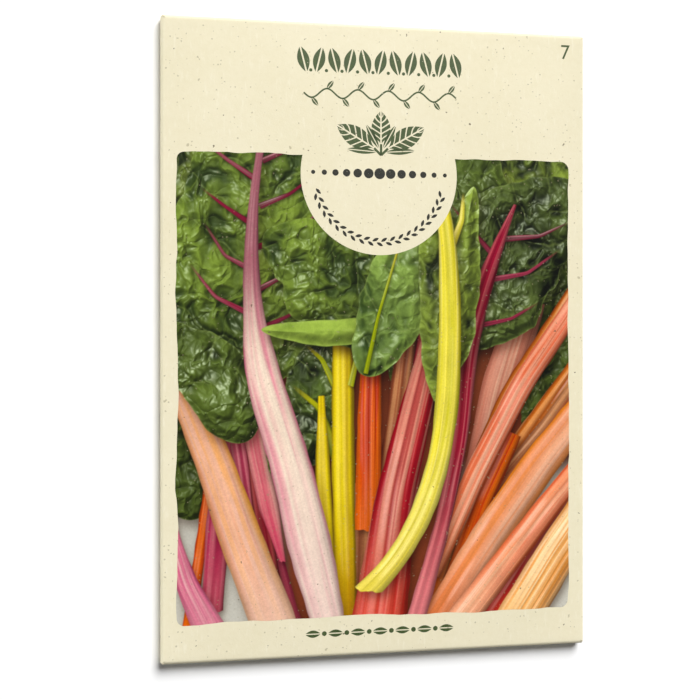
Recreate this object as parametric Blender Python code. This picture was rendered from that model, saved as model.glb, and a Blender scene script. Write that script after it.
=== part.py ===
"""A flat paper seed packet, lying on its back: one folded and glued sheet of paper around an inner
sachet of two sealed films, with the loose seed clusters inside.

Metres, +Z up, +Y towards the packet's top edge. The origin is at the middle of the back, on the
surface that the packet lies on.
"""

import math
import random

import bmesh
import bpy

MM = 0.001

# The packet, outside to outside.
PACKET_WIDTH = 90 * MM
PACKET_HEIGHT = 130 * MM
EDGE_THICKNESS = 3.2 * MM  # along the creased sides, top and bottom
CROWN = 1.0 * MM  # how far the seeds push the front panel out beyond its edges

# The paper and the way that it is folded.
PAPER = 0.2 * MM
CREASE_RADIUS = 0.7 * MM  # of the middle of the paper
CREASE_STEPS = 3
GLUE_GAP = 0.16 * MM  # between two glued layers
SEAM_OVERLAP = 12 * MM  # of the two back panels
SEAM_STEP = 3 * MM  # the run over which the inner panel rises onto the outer one
TOP_FLAP_DEPTH = 22 * MM
BOTTOM_FLAP_DEPTH = 16 * MM
FLAP_TAPER = 6 * MM  # each flap is this much narrower on each side at its free edge
FRONT_COLUMNS = 14
FRONT_ROWS = 18

# Glue.
GLUE = 0.1 * MM
SEAM_GLUE_WIDTH = 7 * MM
FLAP_GLUE_DEPTH = 7 * MM
FLAP_GLUE_WIDTH = 64 * MM
GLUE_INSET = 4 * MM  # from a flap's free edge to its glue

# The inner sachet.
FILM = 0.06 * MM
SACHET_WIDTH = 78 * MM
SACHET_HEIGHT = 110 * MM
SEAL_MARGIN = 6 * MM
SACHET_RAMP = 8 * MM  # from the seal to the full height of the pocket
FILM_GAP = 0.03 * MM
FILM_CLEARANCE = 0.1 * MM
FILM_COLUMNS = 14
FILM_ROWS = 18

# The seed clusters.
SEED_COLUMNS = 6
SEED_ROWS = 8
SEED_SPREAD_X = 41 * MM  # between the middles of the outer columns
SEED_SPREAD_Y = 68 * MM
SEED_JITTER = 1.0 * MM
SEED_LENGTH = (3.4 * MM, 4.6 * MM)
SEED_THICKNESS = (1.9 * MM, 2.4 * MM)
SEED_SHAPES = 6
SEED_LOBES = 4
LOBE_HEIGHT = 0.3
LOBE_SHARPNESS = 4

# Heights of the middle of each layer of paper, from the surface up.
HALF_PAPER = PAPER / 2
FLAP_Z = HALF_PAPER
BACK_Z = FLAP_Z + PAPER + GLUE_GAP
INNER_BACK_Z = BACK_Z + PAPER + GLUE_GAP
FRONT_Z = EDGE_THICKNESS - HALF_PAPER

# The flat front panel ends where its creases begin.
SIDE_X = PACKET_WIDTH / 2 - HALF_PAPER
PANEL_X = SIDE_X - CREASE_RADIUS
END_Y = PACKET_HEIGHT / 2 - HALF_PAPER
PANEL_Y = END_Y - CREASE_RADIUS

# Each film of the sachet, from its lower face.
BACK_FILM_Z = INNER_BACK_Z + HALF_PAPER + FILM_CLEARANCE
SEAL_Z = BACK_FILM_Z + FILM + FILM_GAP
SEED_FLOOR_Z = BACK_FILM_Z + FILM + FILM_GAP


def clear_scene():
    """Removes every object of the scene."""
    for obj in list(bpy.data.objects):
        bpy.data.objects.remove(obj)


def material(name, colour, roughness, metallic=0.0):
    """A Principled material with one colour."""
    made = bpy.data.materials.new(name)
    made.use_nodes = True
    shader = made.node_tree.nodes["Principled BSDF"]
    shader.inputs["Base Color"].default_value = (*colour, 1.0)
    shader.inputs["Roughness"].default_value = roughness
    shader.inputs["Metallic"].default_value = metallic
    return made


def object_from(bm, name, finish):
    """Puts a bmesh into the scene as an object with one material."""
    mesh = bpy.data.meshes.new(name)
    bm.to_mesh(mesh)
    bm.free()
    mesh.materials.append(finish)
    obj = bpy.data.objects.new(name, mesh)
    bpy.context.scene.collection.objects.link(obj)
    return obj


def thicken(obj, thickness, offset):
    """Turns a sheet into a solid. Offset 0 keeps the sheet in the middle, and 1 puts all of it above."""
    modifier = obj.modifiers.new("Solidify", "SOLIDIFY")
    modifier.thickness = thickness
    modifier.offset = offset
    modifier.use_even_offset = True


def crown_at(x, y):
    """How far the front panel stands out at a point, from nothing along its creases."""
    across = 1 - min(1.0, abs(x) / PANEL_X) ** 4
    along = 1 - min(1.0, abs(y) / PANEL_Y) ** 4
    return CROWN * across * along


def arc(centre_a, centre_b, start_deg, end_deg):
    """Points along a crease, its first point left out, because the stretch before it ends there."""
    points = []
    for step in range(1, CREASE_STEPS + 1):
        angle = math.radians(start_deg + (end_deg - start_deg) * step / CREASE_STEPS)
        points.append(
            (
                centre_a + CREASE_RADIUS * math.cos(angle),
                centre_b + CREASE_RADIUS * math.sin(angle),
            )
        )
    return points


def girth():
    """The paper's line round the packet, as (x, z), from the inner back panel's free edge, round the
    left side and across the front, to the outer back panel's free edge."""
    lap = SEAM_OVERLAP / 2
    step_x = -lap - 1 * MM
    line = [(lap, INNER_BACK_Z), (step_x, INNER_BACK_Z), (step_x - SEAM_STEP, BACK_Z), (-PANEL_X, BACK_Z)]
    line += arc(-PANEL_X, BACK_Z + CREASE_RADIUS, -90, -180)
    line += [(-SIDE_X, FRONT_Z - CREASE_RADIUS)]
    line += arc(-PANEL_X, FRONT_Z - CREASE_RADIUS, 180, 90)
    for column in range(1, FRONT_COLUMNS + 1):
        line.append((-PANEL_X + 2 * PANEL_X * column / FRONT_COLUMNS, FRONT_Z))
    line += arc(PANEL_X, FRONT_Z - CREASE_RADIUS, 90, 0)
    line += [(SIDE_X, BACK_Z + CREASE_RADIUS)]
    line += arc(PANEL_X, BACK_Z + CREASE_RADIUS, 0, -90)
    line += [(-lap, BACK_Z)]
    return line


def flap_line(depth):
    """The line of a flap, as (y, z) for the top one, from the front panel's edge to its free edge."""
    line = arc(PANEL_Y, FRONT_Z - CREASE_RADIUS, 90, 0)
    line += [(END_Y, FLAP_Z + CREASE_RADIUS)]
    line += arc(PANEL_Y, FLAP_Z + CREASE_RADIUS, 0, -90)
    line += [(PACKET_HEIGHT / 2 - depth, FLAP_Z)]
    return line


def extrude_chain(bm, edges):
    """Extrudes a chain of edges and returns the new vertices and the new chain."""
    grown = bmesh.ops.extrude_edge_only(bm, edges=edges)["geom"]
    verts = {item for item in grown if isinstance(item, bmesh.types.BMVert)}
    chain = [
        item
        for item in grown
        if isinstance(item, bmesh.types.BMEdge) and all(vert in verts for vert in item.verts)
    ]
    return verts, chain


def is_front(vert):
    """Whether a vertex belongs to the front panel, its two side creases included."""
    return abs(vert.co.x) < PANEL_X + HALF_PAPER / 10 and vert.co.z > FRONT_Z - HALF_PAPER / 10


def add_flap(bm, end, depth):
    """Carries the front panel's edge at the top (end 1) or the bottom (end -1) round to the back."""
    edges = [
        edge
        for edge in bm.edges
        if all(is_front(vert) and abs(vert.co.y - end * PANEL_Y) < HALF_PAPER / 10 for vert in edge.verts)
    ]
    for y, z in flap_line(depth):
        verts, edges = extrude_chain(bm, edges)
        for vert in verts:
            vert.co.y = end * y
            vert.co.z = z
    free_width = 1 - FLAP_TAPER / PANEL_X
    for vert in verts:
        vert.co.x *= free_width


def build_paper_packet(finish):
    """The whole outer paper as one sheet: the front, both back panels and the two flaps."""
    bm = bmesh.new()
    verts = [bm.verts.new((x, -PANEL_Y, z)) for x, z in girth()]
    edges = [bm.edges.new(pair) for pair in zip(verts, verts[1:])]
    for row in range(1, FRONT_ROWS + 1):
        moved, edges = extrude_chain(bm, edges)
        for vert in moved:
            vert.co.y = -PANEL_Y + 2 * PANEL_Y * row / FRONT_ROWS
    add_flap(bm, 1, TOP_FLAP_DEPTH)
    add_flap(bm, -1, BOTTOM_FLAP_DEPTH)
    for vert in bm.verts:
        if is_front(vert):
            vert.co.z += crown_at(vert.co.x, vert.co.y)
    bmesh.ops.recalc_face_normals(bm, faces=bm.faces)
    packet = object_from(bm, "paper_packet", finish)
    thicken(packet, PAPER, 0)
    return packet


def build_glue(name, width, height, y, z, finish):
    """A thin strip of dried glue, its lower face at z."""
    bm = bmesh.new()
    bmesh.ops.create_cube(bm, size=1.0)
    bmesh.ops.scale(bm, vec=(width, height, GLUE), verts=bm.verts)
    strip = object_from(bm, name, finish)
    strip.location = (0, y, z + GLUE / 2)
    return strip


def build_all_glue(finish):
    """The glue of the back seam and of both flaps, each in the middle of its gap."""
    lift = HALF_PAPER + (GLUE_GAP - GLUE) / 2
    flap_y = PACKET_HEIGHT / 2 - TOP_FLAP_DEPTH + GLUE_INSET + FLAP_GLUE_DEPTH / 2
    build_glue("top_flap_glue", FLAP_GLUE_WIDTH, FLAP_GLUE_DEPTH, flap_y, FLAP_Z + lift, finish)
    flap_y = -PACKET_HEIGHT / 2 + BOTTOM_FLAP_DEPTH - GLUE_INSET - FLAP_GLUE_DEPTH / 2
    build_glue("bottom_flap_glue", FLAP_GLUE_WIDTH, FLAP_GLUE_DEPTH, flap_y, FLAP_Z + lift, finish)
    seam_height = 2 * PANEL_Y - 2 * GLUE_INSET
    build_glue("back_seam_glue", SEAM_GLUE_WIDTH, seam_height, 0, BACK_Z + lift, finish)


def ease(distance):
    """0 up to the seal's inner edge and 1 past the ramp, with a smooth rise between them."""
    share = max(0.0, min(1.0, (distance - SEAL_MARGIN) / SACHET_RAMP))
    return share * share * (3 - 2 * share)


def front_film_z(x, y):
    """The lower face of the sachet's front film: on the seal at its margins, under the paper inside."""
    inside = ease(SACHET_WIDTH / 2 - abs(x)) * ease(SACHET_HEIGHT / 2 - abs(y))
    ceiling = FRONT_Z + crown_at(x, y) - HALF_PAPER - FILM_CLEARANCE - FILM
    return SEAL_Z + (ceiling - SEAL_Z) * inside


def build_film(name, height_at, finish):
    """One film of the sachet, as a grid whose lower face is at height_at(x, y)."""
    bm = bmesh.new()
    bmesh.ops.create_grid(bm, x_segments=FILM_COLUMNS, y_segments=FILM_ROWS, size=0.5)
    for vert in bm.verts:
        vert.co.x *= SACHET_WIDTH
        vert.co.y *= SACHET_HEIGHT
        vert.co.z = height_at(vert.co.x, vert.co.y)
    film = object_from(bm, name, finish)
    thicken(film, FILM, 1)
    return film


def build_sachet(finish):
    """The two films of the inner sachet, sealed to each other along their margins."""
    build_film("sachet_back_film", lambda x, y: BACK_FILM_Z, finish)
    build_film("sachet_front_film", front_film_z, finish)


def random_direction(rng):
    """A direction spread evenly over the sphere."""
    height = rng.uniform(-1, 1)
    angle = rng.uniform(0, 2 * math.pi)
    flat = math.sqrt(1 - height * height)
    return flat * math.cos(angle), flat * math.sin(angle), height


def seed_mesh(name, rng, finish):
    """A corky seed cluster, one unit across and one unit thick: a ball with a few blunt lobes."""
    lobes = [random_direction(rng) for _ in range(SEED_LOBES)]
    bm = bmesh.new()
    bmesh.ops.create_icosphere(bm, subdivisions=2, radius=1.0)
    for vert in bm.verts:
        swell = 1.0
        for lobe in lobes:
            facing = max(0.0, sum(a * b for a, b in zip(vert.co, lobe)))
            swell += LOBE_HEIGHT * facing**LOBE_SHARPNESS
        vert.co *= swell
    for axis in range(3):
        low = min(vert.co[axis] for vert in bm.verts)
        high = max(vert.co[axis] for vert in bm.verts)
        for vert in bm.verts:
            vert.co[axis] = (vert.co[axis] - low) / (high - low) - 0.5
    mesh = bpy.data.meshes.new(name)
    bm.to_mesh(mesh)
    bm.free()
    mesh.materials.append(finish)
    mesh.shade_smooth()
    return mesh


def build_seeds(finish):
    """The loose seed clusters, scattered over the sachet's back film in one layer."""
    rng = random.Random(48)
    meshes = [seed_mesh(f"seed_shape_{n + 1}", rng, finish) for n in range(SEED_SHAPES)]
    for number in range(SEED_COLUMNS * SEED_ROWS):
        column = number % SEED_COLUMNS
        row = number // SEED_COLUMNS
        length = rng.uniform(*SEED_LENGTH)
        width = length * rng.uniform(0.8, 1.0)
        thickness = rng.uniform(*SEED_THICKNESS)
        seed = bpy.data.objects.new(f"seed_{number + 1:02d}", meshes[number % SEED_SHAPES])
        seed.scale = (length, width, thickness)
        seed.rotation_euler.z = rng.uniform(0, 2 * math.pi)
        seed.location = (
            SEED_SPREAD_X * (column / (SEED_COLUMNS - 1) - 0.5) + rng.uniform(-SEED_JITTER, SEED_JITTER),
            SEED_SPREAD_Y * (row / (SEED_ROWS - 1) - 0.5) + rng.uniform(-SEED_JITTER, SEED_JITTER),
            SEED_FLOOR_Z + thickness / 2,
        )
        bpy.context.scene.collection.objects.link(seed)


def main():
    """Builds the packet from the outside in."""
    clear_scene()
    build_paper_packet(material("speckled_paper", (0.86, 0.80, 0.62), 0.8))
    build_all_glue(material("dried_glue", (0.82, 0.76, 0.6), 0.5))
    build_sachet(material("glassine_film", (0.85, 0.84, 0.8), 0.35))
    build_seeds(material("seed_husk", (0.42, 0.3, 0.17), 0.9))


main()
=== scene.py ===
"""The looks of a flat paper seed packet: the folded and glued paper, the picture and the ornaments
printed on it, the back's calendar, the glue, the inner sachet and the seed clusters in it.

Everything is in metres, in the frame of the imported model: the packet lies on its back, +Z is out of
its front, +Y is towards its top edge, and the origin is at the middle of its back.
"""

import logging
import math
from collections.abc import Callable
from dataclasses import dataclass
from enum import Enum

import bpy
import numpy as np
from mathutils import Matrix, Vector


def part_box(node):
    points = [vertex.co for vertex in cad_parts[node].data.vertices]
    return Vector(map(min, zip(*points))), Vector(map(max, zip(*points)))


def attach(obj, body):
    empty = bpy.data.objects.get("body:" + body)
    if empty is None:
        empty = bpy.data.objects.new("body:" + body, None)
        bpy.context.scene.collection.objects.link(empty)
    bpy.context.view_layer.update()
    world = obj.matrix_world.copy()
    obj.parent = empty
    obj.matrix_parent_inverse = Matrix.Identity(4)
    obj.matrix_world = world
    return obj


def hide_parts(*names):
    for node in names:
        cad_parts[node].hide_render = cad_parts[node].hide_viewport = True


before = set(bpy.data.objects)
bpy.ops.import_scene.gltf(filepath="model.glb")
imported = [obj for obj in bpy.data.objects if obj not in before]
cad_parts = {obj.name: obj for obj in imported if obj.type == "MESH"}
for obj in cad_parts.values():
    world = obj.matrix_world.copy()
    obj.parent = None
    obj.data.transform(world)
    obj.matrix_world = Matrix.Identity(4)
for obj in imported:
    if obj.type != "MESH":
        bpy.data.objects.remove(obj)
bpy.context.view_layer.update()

LOG = logging.getLogger("seed_packet")
MM = 0.001

Colour = tuple[float, float, float]
Point = tuple[float, float]
Sheet = Callable[[np.ndarray, np.ndarray], np.ndarray]  # from places across and along to points on paper


def linear(red: int, green: int, blue: int) -> Colour:
    """Turns an ink colour given as screen values from 0 to 255 into linear light.

    Args:
        red: The red value.
        green: The green value.
        blue: The blue value.

    Returns:
        The three linear values, by the sRGB curve.
    """
    values = np.array([red, green, blue]) / 255.0
    low = values / 12.92
    high = ((values + 0.055) / 1.055) ** 2.4
    return tuple(float(v) for v in np.where(values <= 0.04045, low, high))


# ---------------------------------------------------------------------------------------------
# Meshes from arrays.
# ---------------------------------------------------------------------------------------------


def quads_of(index: np.ndarray) -> np.ndarray:
    """The quads of a grid of point numbers, facing +Z where columns run along +X and rows along +Y.

    Args:
        index: The number of the point at each row and column.

    Returns:
        Four point numbers for every cell.
    """
    corners = (index[:-1, :-1], index[:-1, 1:], index[1:, 1:], index[1:, :-1])
    return np.stack(corners, axis=-1).reshape(-1, 4)


def grid_quads(rows: int, columns: int) -> np.ndarray:
    """The quads of a grid whose points are numbered row by row."""
    return quads_of(np.arange(rows * columns).reshape(rows, columns))


def mesh_piece(name: str, points: np.ndarray, quads: np.ndarray) -> bpy.types.Object:
    """Puts points and quads into a new smooth-shaded object at the origin.

    Args:
        name: The piece's name.
        points: Places in metres, three for each point.
        quads: Point numbers, four for each face.

    Returns:
        The piece.
    """
    mesh = bpy.data.meshes.new(name)
    mesh.vertices.add(len(points))
    mesh.vertices.foreach_set("co", np.ascontiguousarray(points, dtype=np.float32).ravel())
    mesh.loops.add(quads.size)
    mesh.loops.foreach_set("vertex_index", np.ascontiguousarray(quads, dtype=np.int32).ravel())
    mesh.polygons.add(len(quads))
    mesh.polygons.foreach_set("loop_start", np.arange(0, quads.size, 4, dtype=np.int32))
    mesh.update(calc_edges=True)
    mesh.shade_smooth()
    piece = bpy.data.objects.new(name, mesh)
    bpy.context.scene.collection.objects.link(piece)
    return piece


def settle(piece: bpy.types.Object, sharp_deg: float = 40.0) -> None:
    """Makes a piece's modifiers part of its mesh, then marks its sharp edges.

    Args:
        piece: The piece.
        sharp_deg: Edges whose faces meet at more than this angle are sharp.
    """
    graph = bpy.context.evaluated_depsgraph_get()
    solid = bpy.data.meshes.new_from_object(piece.evaluated_get(graph))
    piece.modifiers.clear()
    piece.data = solid
    solid.shade_smooth()
    solid.set_sharp_from_angle(angle=math.radians(sharp_deg))


def thicken(piece: bpy.types.Object, thickness: float, offset: float) -> None:
    """Turns a sheet into a closed solid. Offset 0 keeps the sheet in its middle, -1 on its outside."""
    modifier = piece.modifiers.new("Thickness", "SOLIDIFY")
    modifier.thickness = thickness
    modifier.offset = offset
    modifier.use_even_offset = True
    settle(piece)


def dress(piece: bpy.types.Object, finish: bpy.types.Material) -> None:
    """Gives a piece one material."""
    piece.data.materials.clear()
    piece.data.materials.append(finish)


def show(piece: bpy.types.Object, slot: str, finish: bpy.types.Material, *nodes: str) -> None:
    """Dresses a piece, lets it ride on the packet and reports it.

    Args:
        piece: The piece.
        slot: Not used.
        finish: Its material.
        nodes: The nodes that it stands for.
    """
    dress(piece, finish)
    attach(piece, "root")
    if nodes:
        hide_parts(*nodes)
    LOG.info("%s: %d faces", piece.name, len(piece.data.polygons))


# ---------------------------------------------------------------------------------------------
# Finishes.
# ---------------------------------------------------------------------------------------------


class NodeBench:
    """A material's nodes, with short ways to add and join them."""

    def __init__(self, name: str) -> None:
        """Starts a material with one Principled shader.

        Args:
            name: The material's name.
        """
        self.material = bpy.data.materials.new(name)
        self.material.use_nodes = True
        self.tree = self.material.node_tree
        self.shader = self.tree.nodes["Principled BSDF"]
        self.place = self.node("ShaderNodeTexCoord").outputs["Object"]

    def node(self, kind: str, **settings: object) -> bpy.types.Node:
        """Adds a node and sets its properties."""
        made = self.tree.nodes.new(kind)
        for name, value in settings.items():
            setattr(made, name, value)
        return made

    def feed(self, socket: bpy.types.NodeSocket, value: object) -> None:
        """Joins a socket to an output, or sets its value."""
        if isinstance(value, bpy.types.NodeSocket):
            self.tree.links.new(value, socket)
        else:
            socket.default_value = value

    def stretched(self, scale: tuple[float, float, float]) -> bpy.types.NodeSocket:
        """The place, scaled along each axis, so that a pattern runs longer along one of them."""
        mapping = self.node("ShaderNodeMapping")
        self.feed(mapping.inputs["Vector"], self.place)
        mapping.inputs["Scale"].default_value = scale
        return mapping.outputs["Vector"]

    def noise(
        self,
        scale: float,
        detail: float = 2.0,
        rough: float = 0.5,
        place: bpy.types.NodeSocket | None = None,
    ) -> bpy.types.NodeSocket:
        """Noise over the place, with scale in features for each metre, from about 0.2 to 0.8."""
        made = self.node("ShaderNodeTexNoise")
        self.feed(made.inputs["Vector"], place or self.place)
        made.inputs["Scale"].default_value = scale
        made.inputs["Detail"].default_value = detail
        made.inputs["Roughness"].default_value = rough
        return made.outputs["Fac"]

    def maths(self, operation: str, first: object, second: object = 0.0) -> bpy.types.NodeSocket:
        """One sum on two values."""
        made = self.node("ShaderNodeMath", operation=operation)
        self.feed(made.inputs[0], first)
        self.feed(made.inputs[1], second)
        return made.outputs[0]

    def spread(
        self, value: object, low: float, high: float, to_low: float, to_high: float
    ) -> bpy.types.NodeSocket:
        """Moves a value smoothly from one range to another, and keeps it inside."""
        made = self.node("ShaderNodeMapRange", interpolation_type="SMOOTHSTEP")
        self.feed(made.inputs["Value"], value)
        for name, number in zip(("From Min", "From Max", "To Min", "To Max"), (low, high, to_low, to_high)):
            made.inputs[name].default_value = number
        return made.outputs["Result"]

    def mixed(self, share: object, first: object, second: object, way: str = "MIX") -> bpy.types.NodeSocket:
        """Mixes two colours."""
        made = self.node("ShaderNodeMix", data_type="RGBA", blend_type=way)
        self.feed(made.inputs["Factor"], share)
        for name, value in (("A", first), ("B", second)):
            socket = next(s for s in made.inputs if s.name == name and s.type == "RGBA")
            self.feed(socket, (*value, 1.0) if isinstance(value, tuple) else value)
        return next(s for s in made.outputs if s.type == "RGBA")

    def relief(
        self, height: bpy.types.NodeSocket, depth: float, onto: object = None
    ) -> bpy.types.NodeSocket:
        """A bump from a height from 0 to 1, with its depth in metres."""
        made = self.node("ShaderNodeBump")
        made.inputs["Strength"].default_value = 1.0
        made.inputs["Distance"].default_value = depth
        self.feed(made.inputs["Height"], height)
        if onto is not None:
            self.feed(made.inputs["Normal"], onto)
        return made.outputs["Normal"]

    def fill(self, colour: object, rough: object, normal: object = None, specular: float = 0.5) -> None:
        """Joins a colour, a roughness and a bump to the shader, and sets its specular level.

        Args:
            colour: The base colour.
            rough: The roughness.
            normal: The bump, if there is one.
            specular: How strong its reflection is, from 0 to 1.
        """
        self.feed(self.shader.inputs["Base Color"], colour)
        self.feed(self.shader.inputs["Roughness"], rough)
        self.shader.inputs["Specular IOR Level"].default_value = specular
        if normal is not None:
            self.feed(self.shader.inputs["Normal"], normal)

    def specks(self, scale: float, share: float, size: tuple[float, float]) -> bpy.types.NodeSocket:
        """Small irregular specks, one in some of the cells of a cell pattern.

        Args:
            scale: Cells for each metre.
            share: The share of the cells that hold a speck.
            size: A speck's smallest and largest radius, as a share of a cell.

        Returns:
            1 in a speck and 0 between them.
        """
        wobble = self.node("ShaderNodeTexNoise")
        self.feed(wobble.inputs["Vector"], self.place)
        wobble.inputs["Scale"].default_value = scale * 2.6
        moved = self.node("ShaderNodeVectorMath", operation="MULTIPLY_ADD")
        self.feed(moved.inputs[0], wobble.outputs["Color"])
        moved.inputs[1].default_value = (0.45 / scale,) * 3
        self.feed(moved.inputs[2], self.place)
        cell = self.node("ShaderNodeTexVoronoi", feature="F1")
        self.feed(cell.inputs["Vector"], moved.outputs[0])
        cell.inputs["Scale"].default_value = scale
        parts = self.node("ShaderNodeSeparateColor")
        self.feed(parts.inputs[0], cell.outputs["Color"])
        chosen = self.maths("LESS_THAN", parts.outputs[0], share)
        radius = self.spread(parts.outputs[1], 0.0, 1.0, *size)
        inside = self.maths("SUBTRACT", radius, cell.outputs["Distance"])
        soft = self.spread(inside, 0.0, size[0] * 0.8, 0.0, 1.0)
        return self.maths("MULTIPLY", soft, chosen)


@dataclass(frozen=True)
class PaperFinish:
    """Uncoated paper with bits of husk in it: cream, faintly cloudy, flecked and a little fibrous."""

    cream: tuple[float, float, float] = (0.832, 0.768, 0.562)
    shade: tuple[float, float, float] = (0.770, 0.700, 0.478)
    fleck: tuple[float, float, float] = (0.30, 0.26, 0.15)
    dark_fleck: tuple[float, float, float] = (0.11, 0.085, 0.05)
    roughness: float = 0.78

    def tint(self, bench: NodeBench) -> bpy.types.NodeSocket:
        """The bare paper's colour: broad clouds, fine mottling and short fibres."""
        clouds = bench.spread(bench.noise(70.0, 3.0), 0.3, 0.72, 0.0, 0.34)
        mottle = bench.spread(bench.noise(900.0, 4.0, 0.65), 0.35, 0.75, 0.0, 0.34)
        base = bench.mixed(bench.maths("ADD", clouds, mottle), self.cream, self.shade)
        fibres = bench.noise(1500.0, 3.0, 0.6, bench.stretched((1.0, 0.22, 1.0)))
        return bench.mixed(bench.spread(fibres, 0.56, 0.72, 0.0, 0.3), base, (0.93, 0.88, 0.71))

    def flecked(self, bench: NodeBench, base: object, strength: float = 1.0) -> bpy.types.NodeSocket:
        """Lays the flecks over a colour: faint ones, many fine ones, and small dark ones."""
        for scale, share, size, depth, colour in (
            (430.0, 0.34, (0.05, 0.13), 0.50, self.fleck),
            (1150.0, 0.5, (0.10, 0.24), 0.46, self.fleck),
            (370.0, 0.6, (0.04, 0.09), 0.85, self.dark_fleck),
        ):
            cover = bench.maths("MULTIPLY", bench.specks(scale, share, size), depth * strength)
            base = bench.mixed(cover, base, colour)
        return base

    def tooth(self, bench: NodeBench, depth: float) -> bpy.types.NodeSocket:
        """The paper's tooth: fine grain over slow cockling."""
        cockle = bench.relief(bench.noise(110.0, 2.0), 0.00012)
        return bench.relief(bench.noise(2600.0, 4.0, 0.7), depth, cockle)

    def material(self) -> bpy.types.Material:
        """The bare paper."""
        bench = NodeBench("speckled_paper_finish")
        rough = bench.spread(bench.noise(500.0, 3.0), 0.3, 0.7, self.roughness - 0.06, self.roughness + 0.08)
        bench.fill(self.flecked(bench, self.tint(bench)), rough, self.tooth(bench, 0.00003), 0.3)
        return bench.material


@dataclass(frozen=True)
class PictureFinish:
    """Printing inks on the same paper: the painted colour, with the flecks showing through."""

    layer: str = "ink"
    roughness: float = 0.58

    def material(self) -> bpy.types.Material:
        """The printed picture, whose colour is the piece's own colour attribute."""
        bench = NodeBench("printed_picture_finish")
        inks = bench.node("ShaderNodeAttribute", attribute_name=self.layer).outputs["Color"]
        grain = bench.spread(bench.noise(2400.0, 3.0, 0.7), 0.3, 0.75, 0.93, 1.07)
        grey = bench.node("ShaderNodeCombineColor")
        for socket in grey.inputs[:3]:
            bench.feed(socket, grain)
        soaked = bench.mixed(1.0, inks, grey.outputs[0], "MULTIPLY")
        paper = PaperFinish()
        rough = bench.spread(bench.noise(700.0, 3.0), 0.3, 0.7, self.roughness - 0.05, self.roughness + 0.08)
        bench.fill(paper.flecked(bench, soaked, 0.8), rough, paper.tooth(bench, 0.00002), 0.10)
        return bench.material


@dataclass(frozen=True)
class InkFinish:
    """A solid printing ink, a little uneven where the paper's tooth takes less of it."""

    name: str
    deep: tuple[float, float, float]
    thin: tuple[float, float, float]

    def material(self) -> bpy.types.Material:
        """The ink."""
        bench = NodeBench(self.name)
        uneven = bench.spread(bench.noise(1700.0, 4.0, 0.65), 0.42, 0.74, 0.0, 0.75)
        colour = bench.mixed(uneven, self.deep, self.thin)
        pins = bench.maths("MULTIPLY", bench.specks(2100.0, 0.12, (0.1, 0.24)), 0.55)
        paper = PaperFinish()
        rough = bench.spread(uneven, 0.0, 0.75, 0.55, 0.7)
        bench.fill(bench.mixed(pins, colour, paper.cream), rough, paper.tooth(bench, 0.00002), 0.35)
        return bench.material


LEAF_INK = InkFinish("leaf_green_ink", linear(64, 80, 42), linear(90, 106, 64))
DARK_INK = InkFinish("near_black_ink", linear(34, 34, 26), linear(62, 62, 48))


@dataclass(frozen=True)
class GlueFinish:
    """Dried dextrin glue: amber, half gloss, with pale pulled strings."""

    amber: tuple[float, float, float] = (0.50, 0.36, 0.15)
    pale: tuple[float, float, float] = (0.78, 0.66, 0.40)

    def material(self) -> bpy.types.Material:
        """The glue."""
        bench = NodeBench("dried_glue_finish")
        pulled = bench.noise(900.0, 4.0, 0.6, bench.stretched((0.35, 1.0, 1.0)))
        share = bench.spread(pulled, 0.35, 0.68, 0.0, 1.0)
        rough = bench.spread(pulled, 0.3, 0.7, 0.28, 0.55)
        bench.fill(bench.mixed(share, self.amber, self.pale), rough, bench.relief(pulled, 0.00006))
        return bench.material


@dataclass(frozen=True)
class FilmFinish:
    """Glassine: a smooth, milky film with fine creases."""

    milk: tuple[float, float, float] = (0.80, 0.79, 0.74)
    crease: tuple[float, float, float] = (0.93, 0.93, 0.90)

    def material(self) -> bpy.types.Material:
        """The film."""
        bench = NodeBench("glassine_film_finish")
        pattern = bench.node("ShaderNodeTexVoronoi", feature="DISTANCE_TO_EDGE")
        bench.feed(pattern.inputs["Vector"], bench.place)
        pattern.inputs["Scale"].default_value = 130.0
        crease = bench.spread(pattern.outputs["Distance"], 0.0, 0.05, 1.0, 0.0)
        cloudy = bench.mixed(bench.noise(300.0, 3.0), self.milk, (0.72, 0.71, 0.66))
        rough = bench.spread(bench.noise(600.0), 0.3, 0.7, 0.24, 0.38)
        bench.fill(bench.mixed(crease, cloudy, self.crease), rough, bench.relief(crease, 0.00008))
        return bench.material


@dataclass(frozen=True)
class HuskFinish:
    """The corky husk of a seed cluster: brown, pitted, paler on its ridges."""

    brown: tuple[float, float, float] = (0.20, 0.115, 0.05)
    tan: tuple[float, float, float] = (0.46, 0.31, 0.16)

    def material(self) -> bpy.types.Material:
        """The husk."""
        bench = NodeBench("seed_husk_finish")
        cork = bench.noise(1400.0, 5.0, 0.7)
        share = bench.spread(cork, 0.36, 0.66, 0.0, 1.0)
        rough = bench.spread(cork, 0.3, 0.7, 0.95, 0.8)
        bench.fill(bench.mixed(share, self.brown, self.tan), rough, bench.relief(cork, 0.0004))
        return bench.material


@dataclass(frozen=True)
class TableFinish:
    """The white surface that the packet lies on."""

    white: tuple[float, float, float] = (1.0, 1.0, 1.0)

    def material(self) -> bpy.types.Material:
        """The surface."""
        bench = NodeBench("white_table_finish")
        faint = bench.spread(bench.noise(8.0), 0.3, 0.7, 0.0, 1.0)
        rough = bench.spread(faint, 0.0, 1.0, 0.9, 0.95)
        bench.fill(bench.mixed(faint, self.white, (0.985, 0.985, 0.985)), rough, specular=0.1)
        return bench.material


# ---------------------------------------------------------------------------------------------
# The folded paper.
# ---------------------------------------------------------------------------------------------


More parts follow.
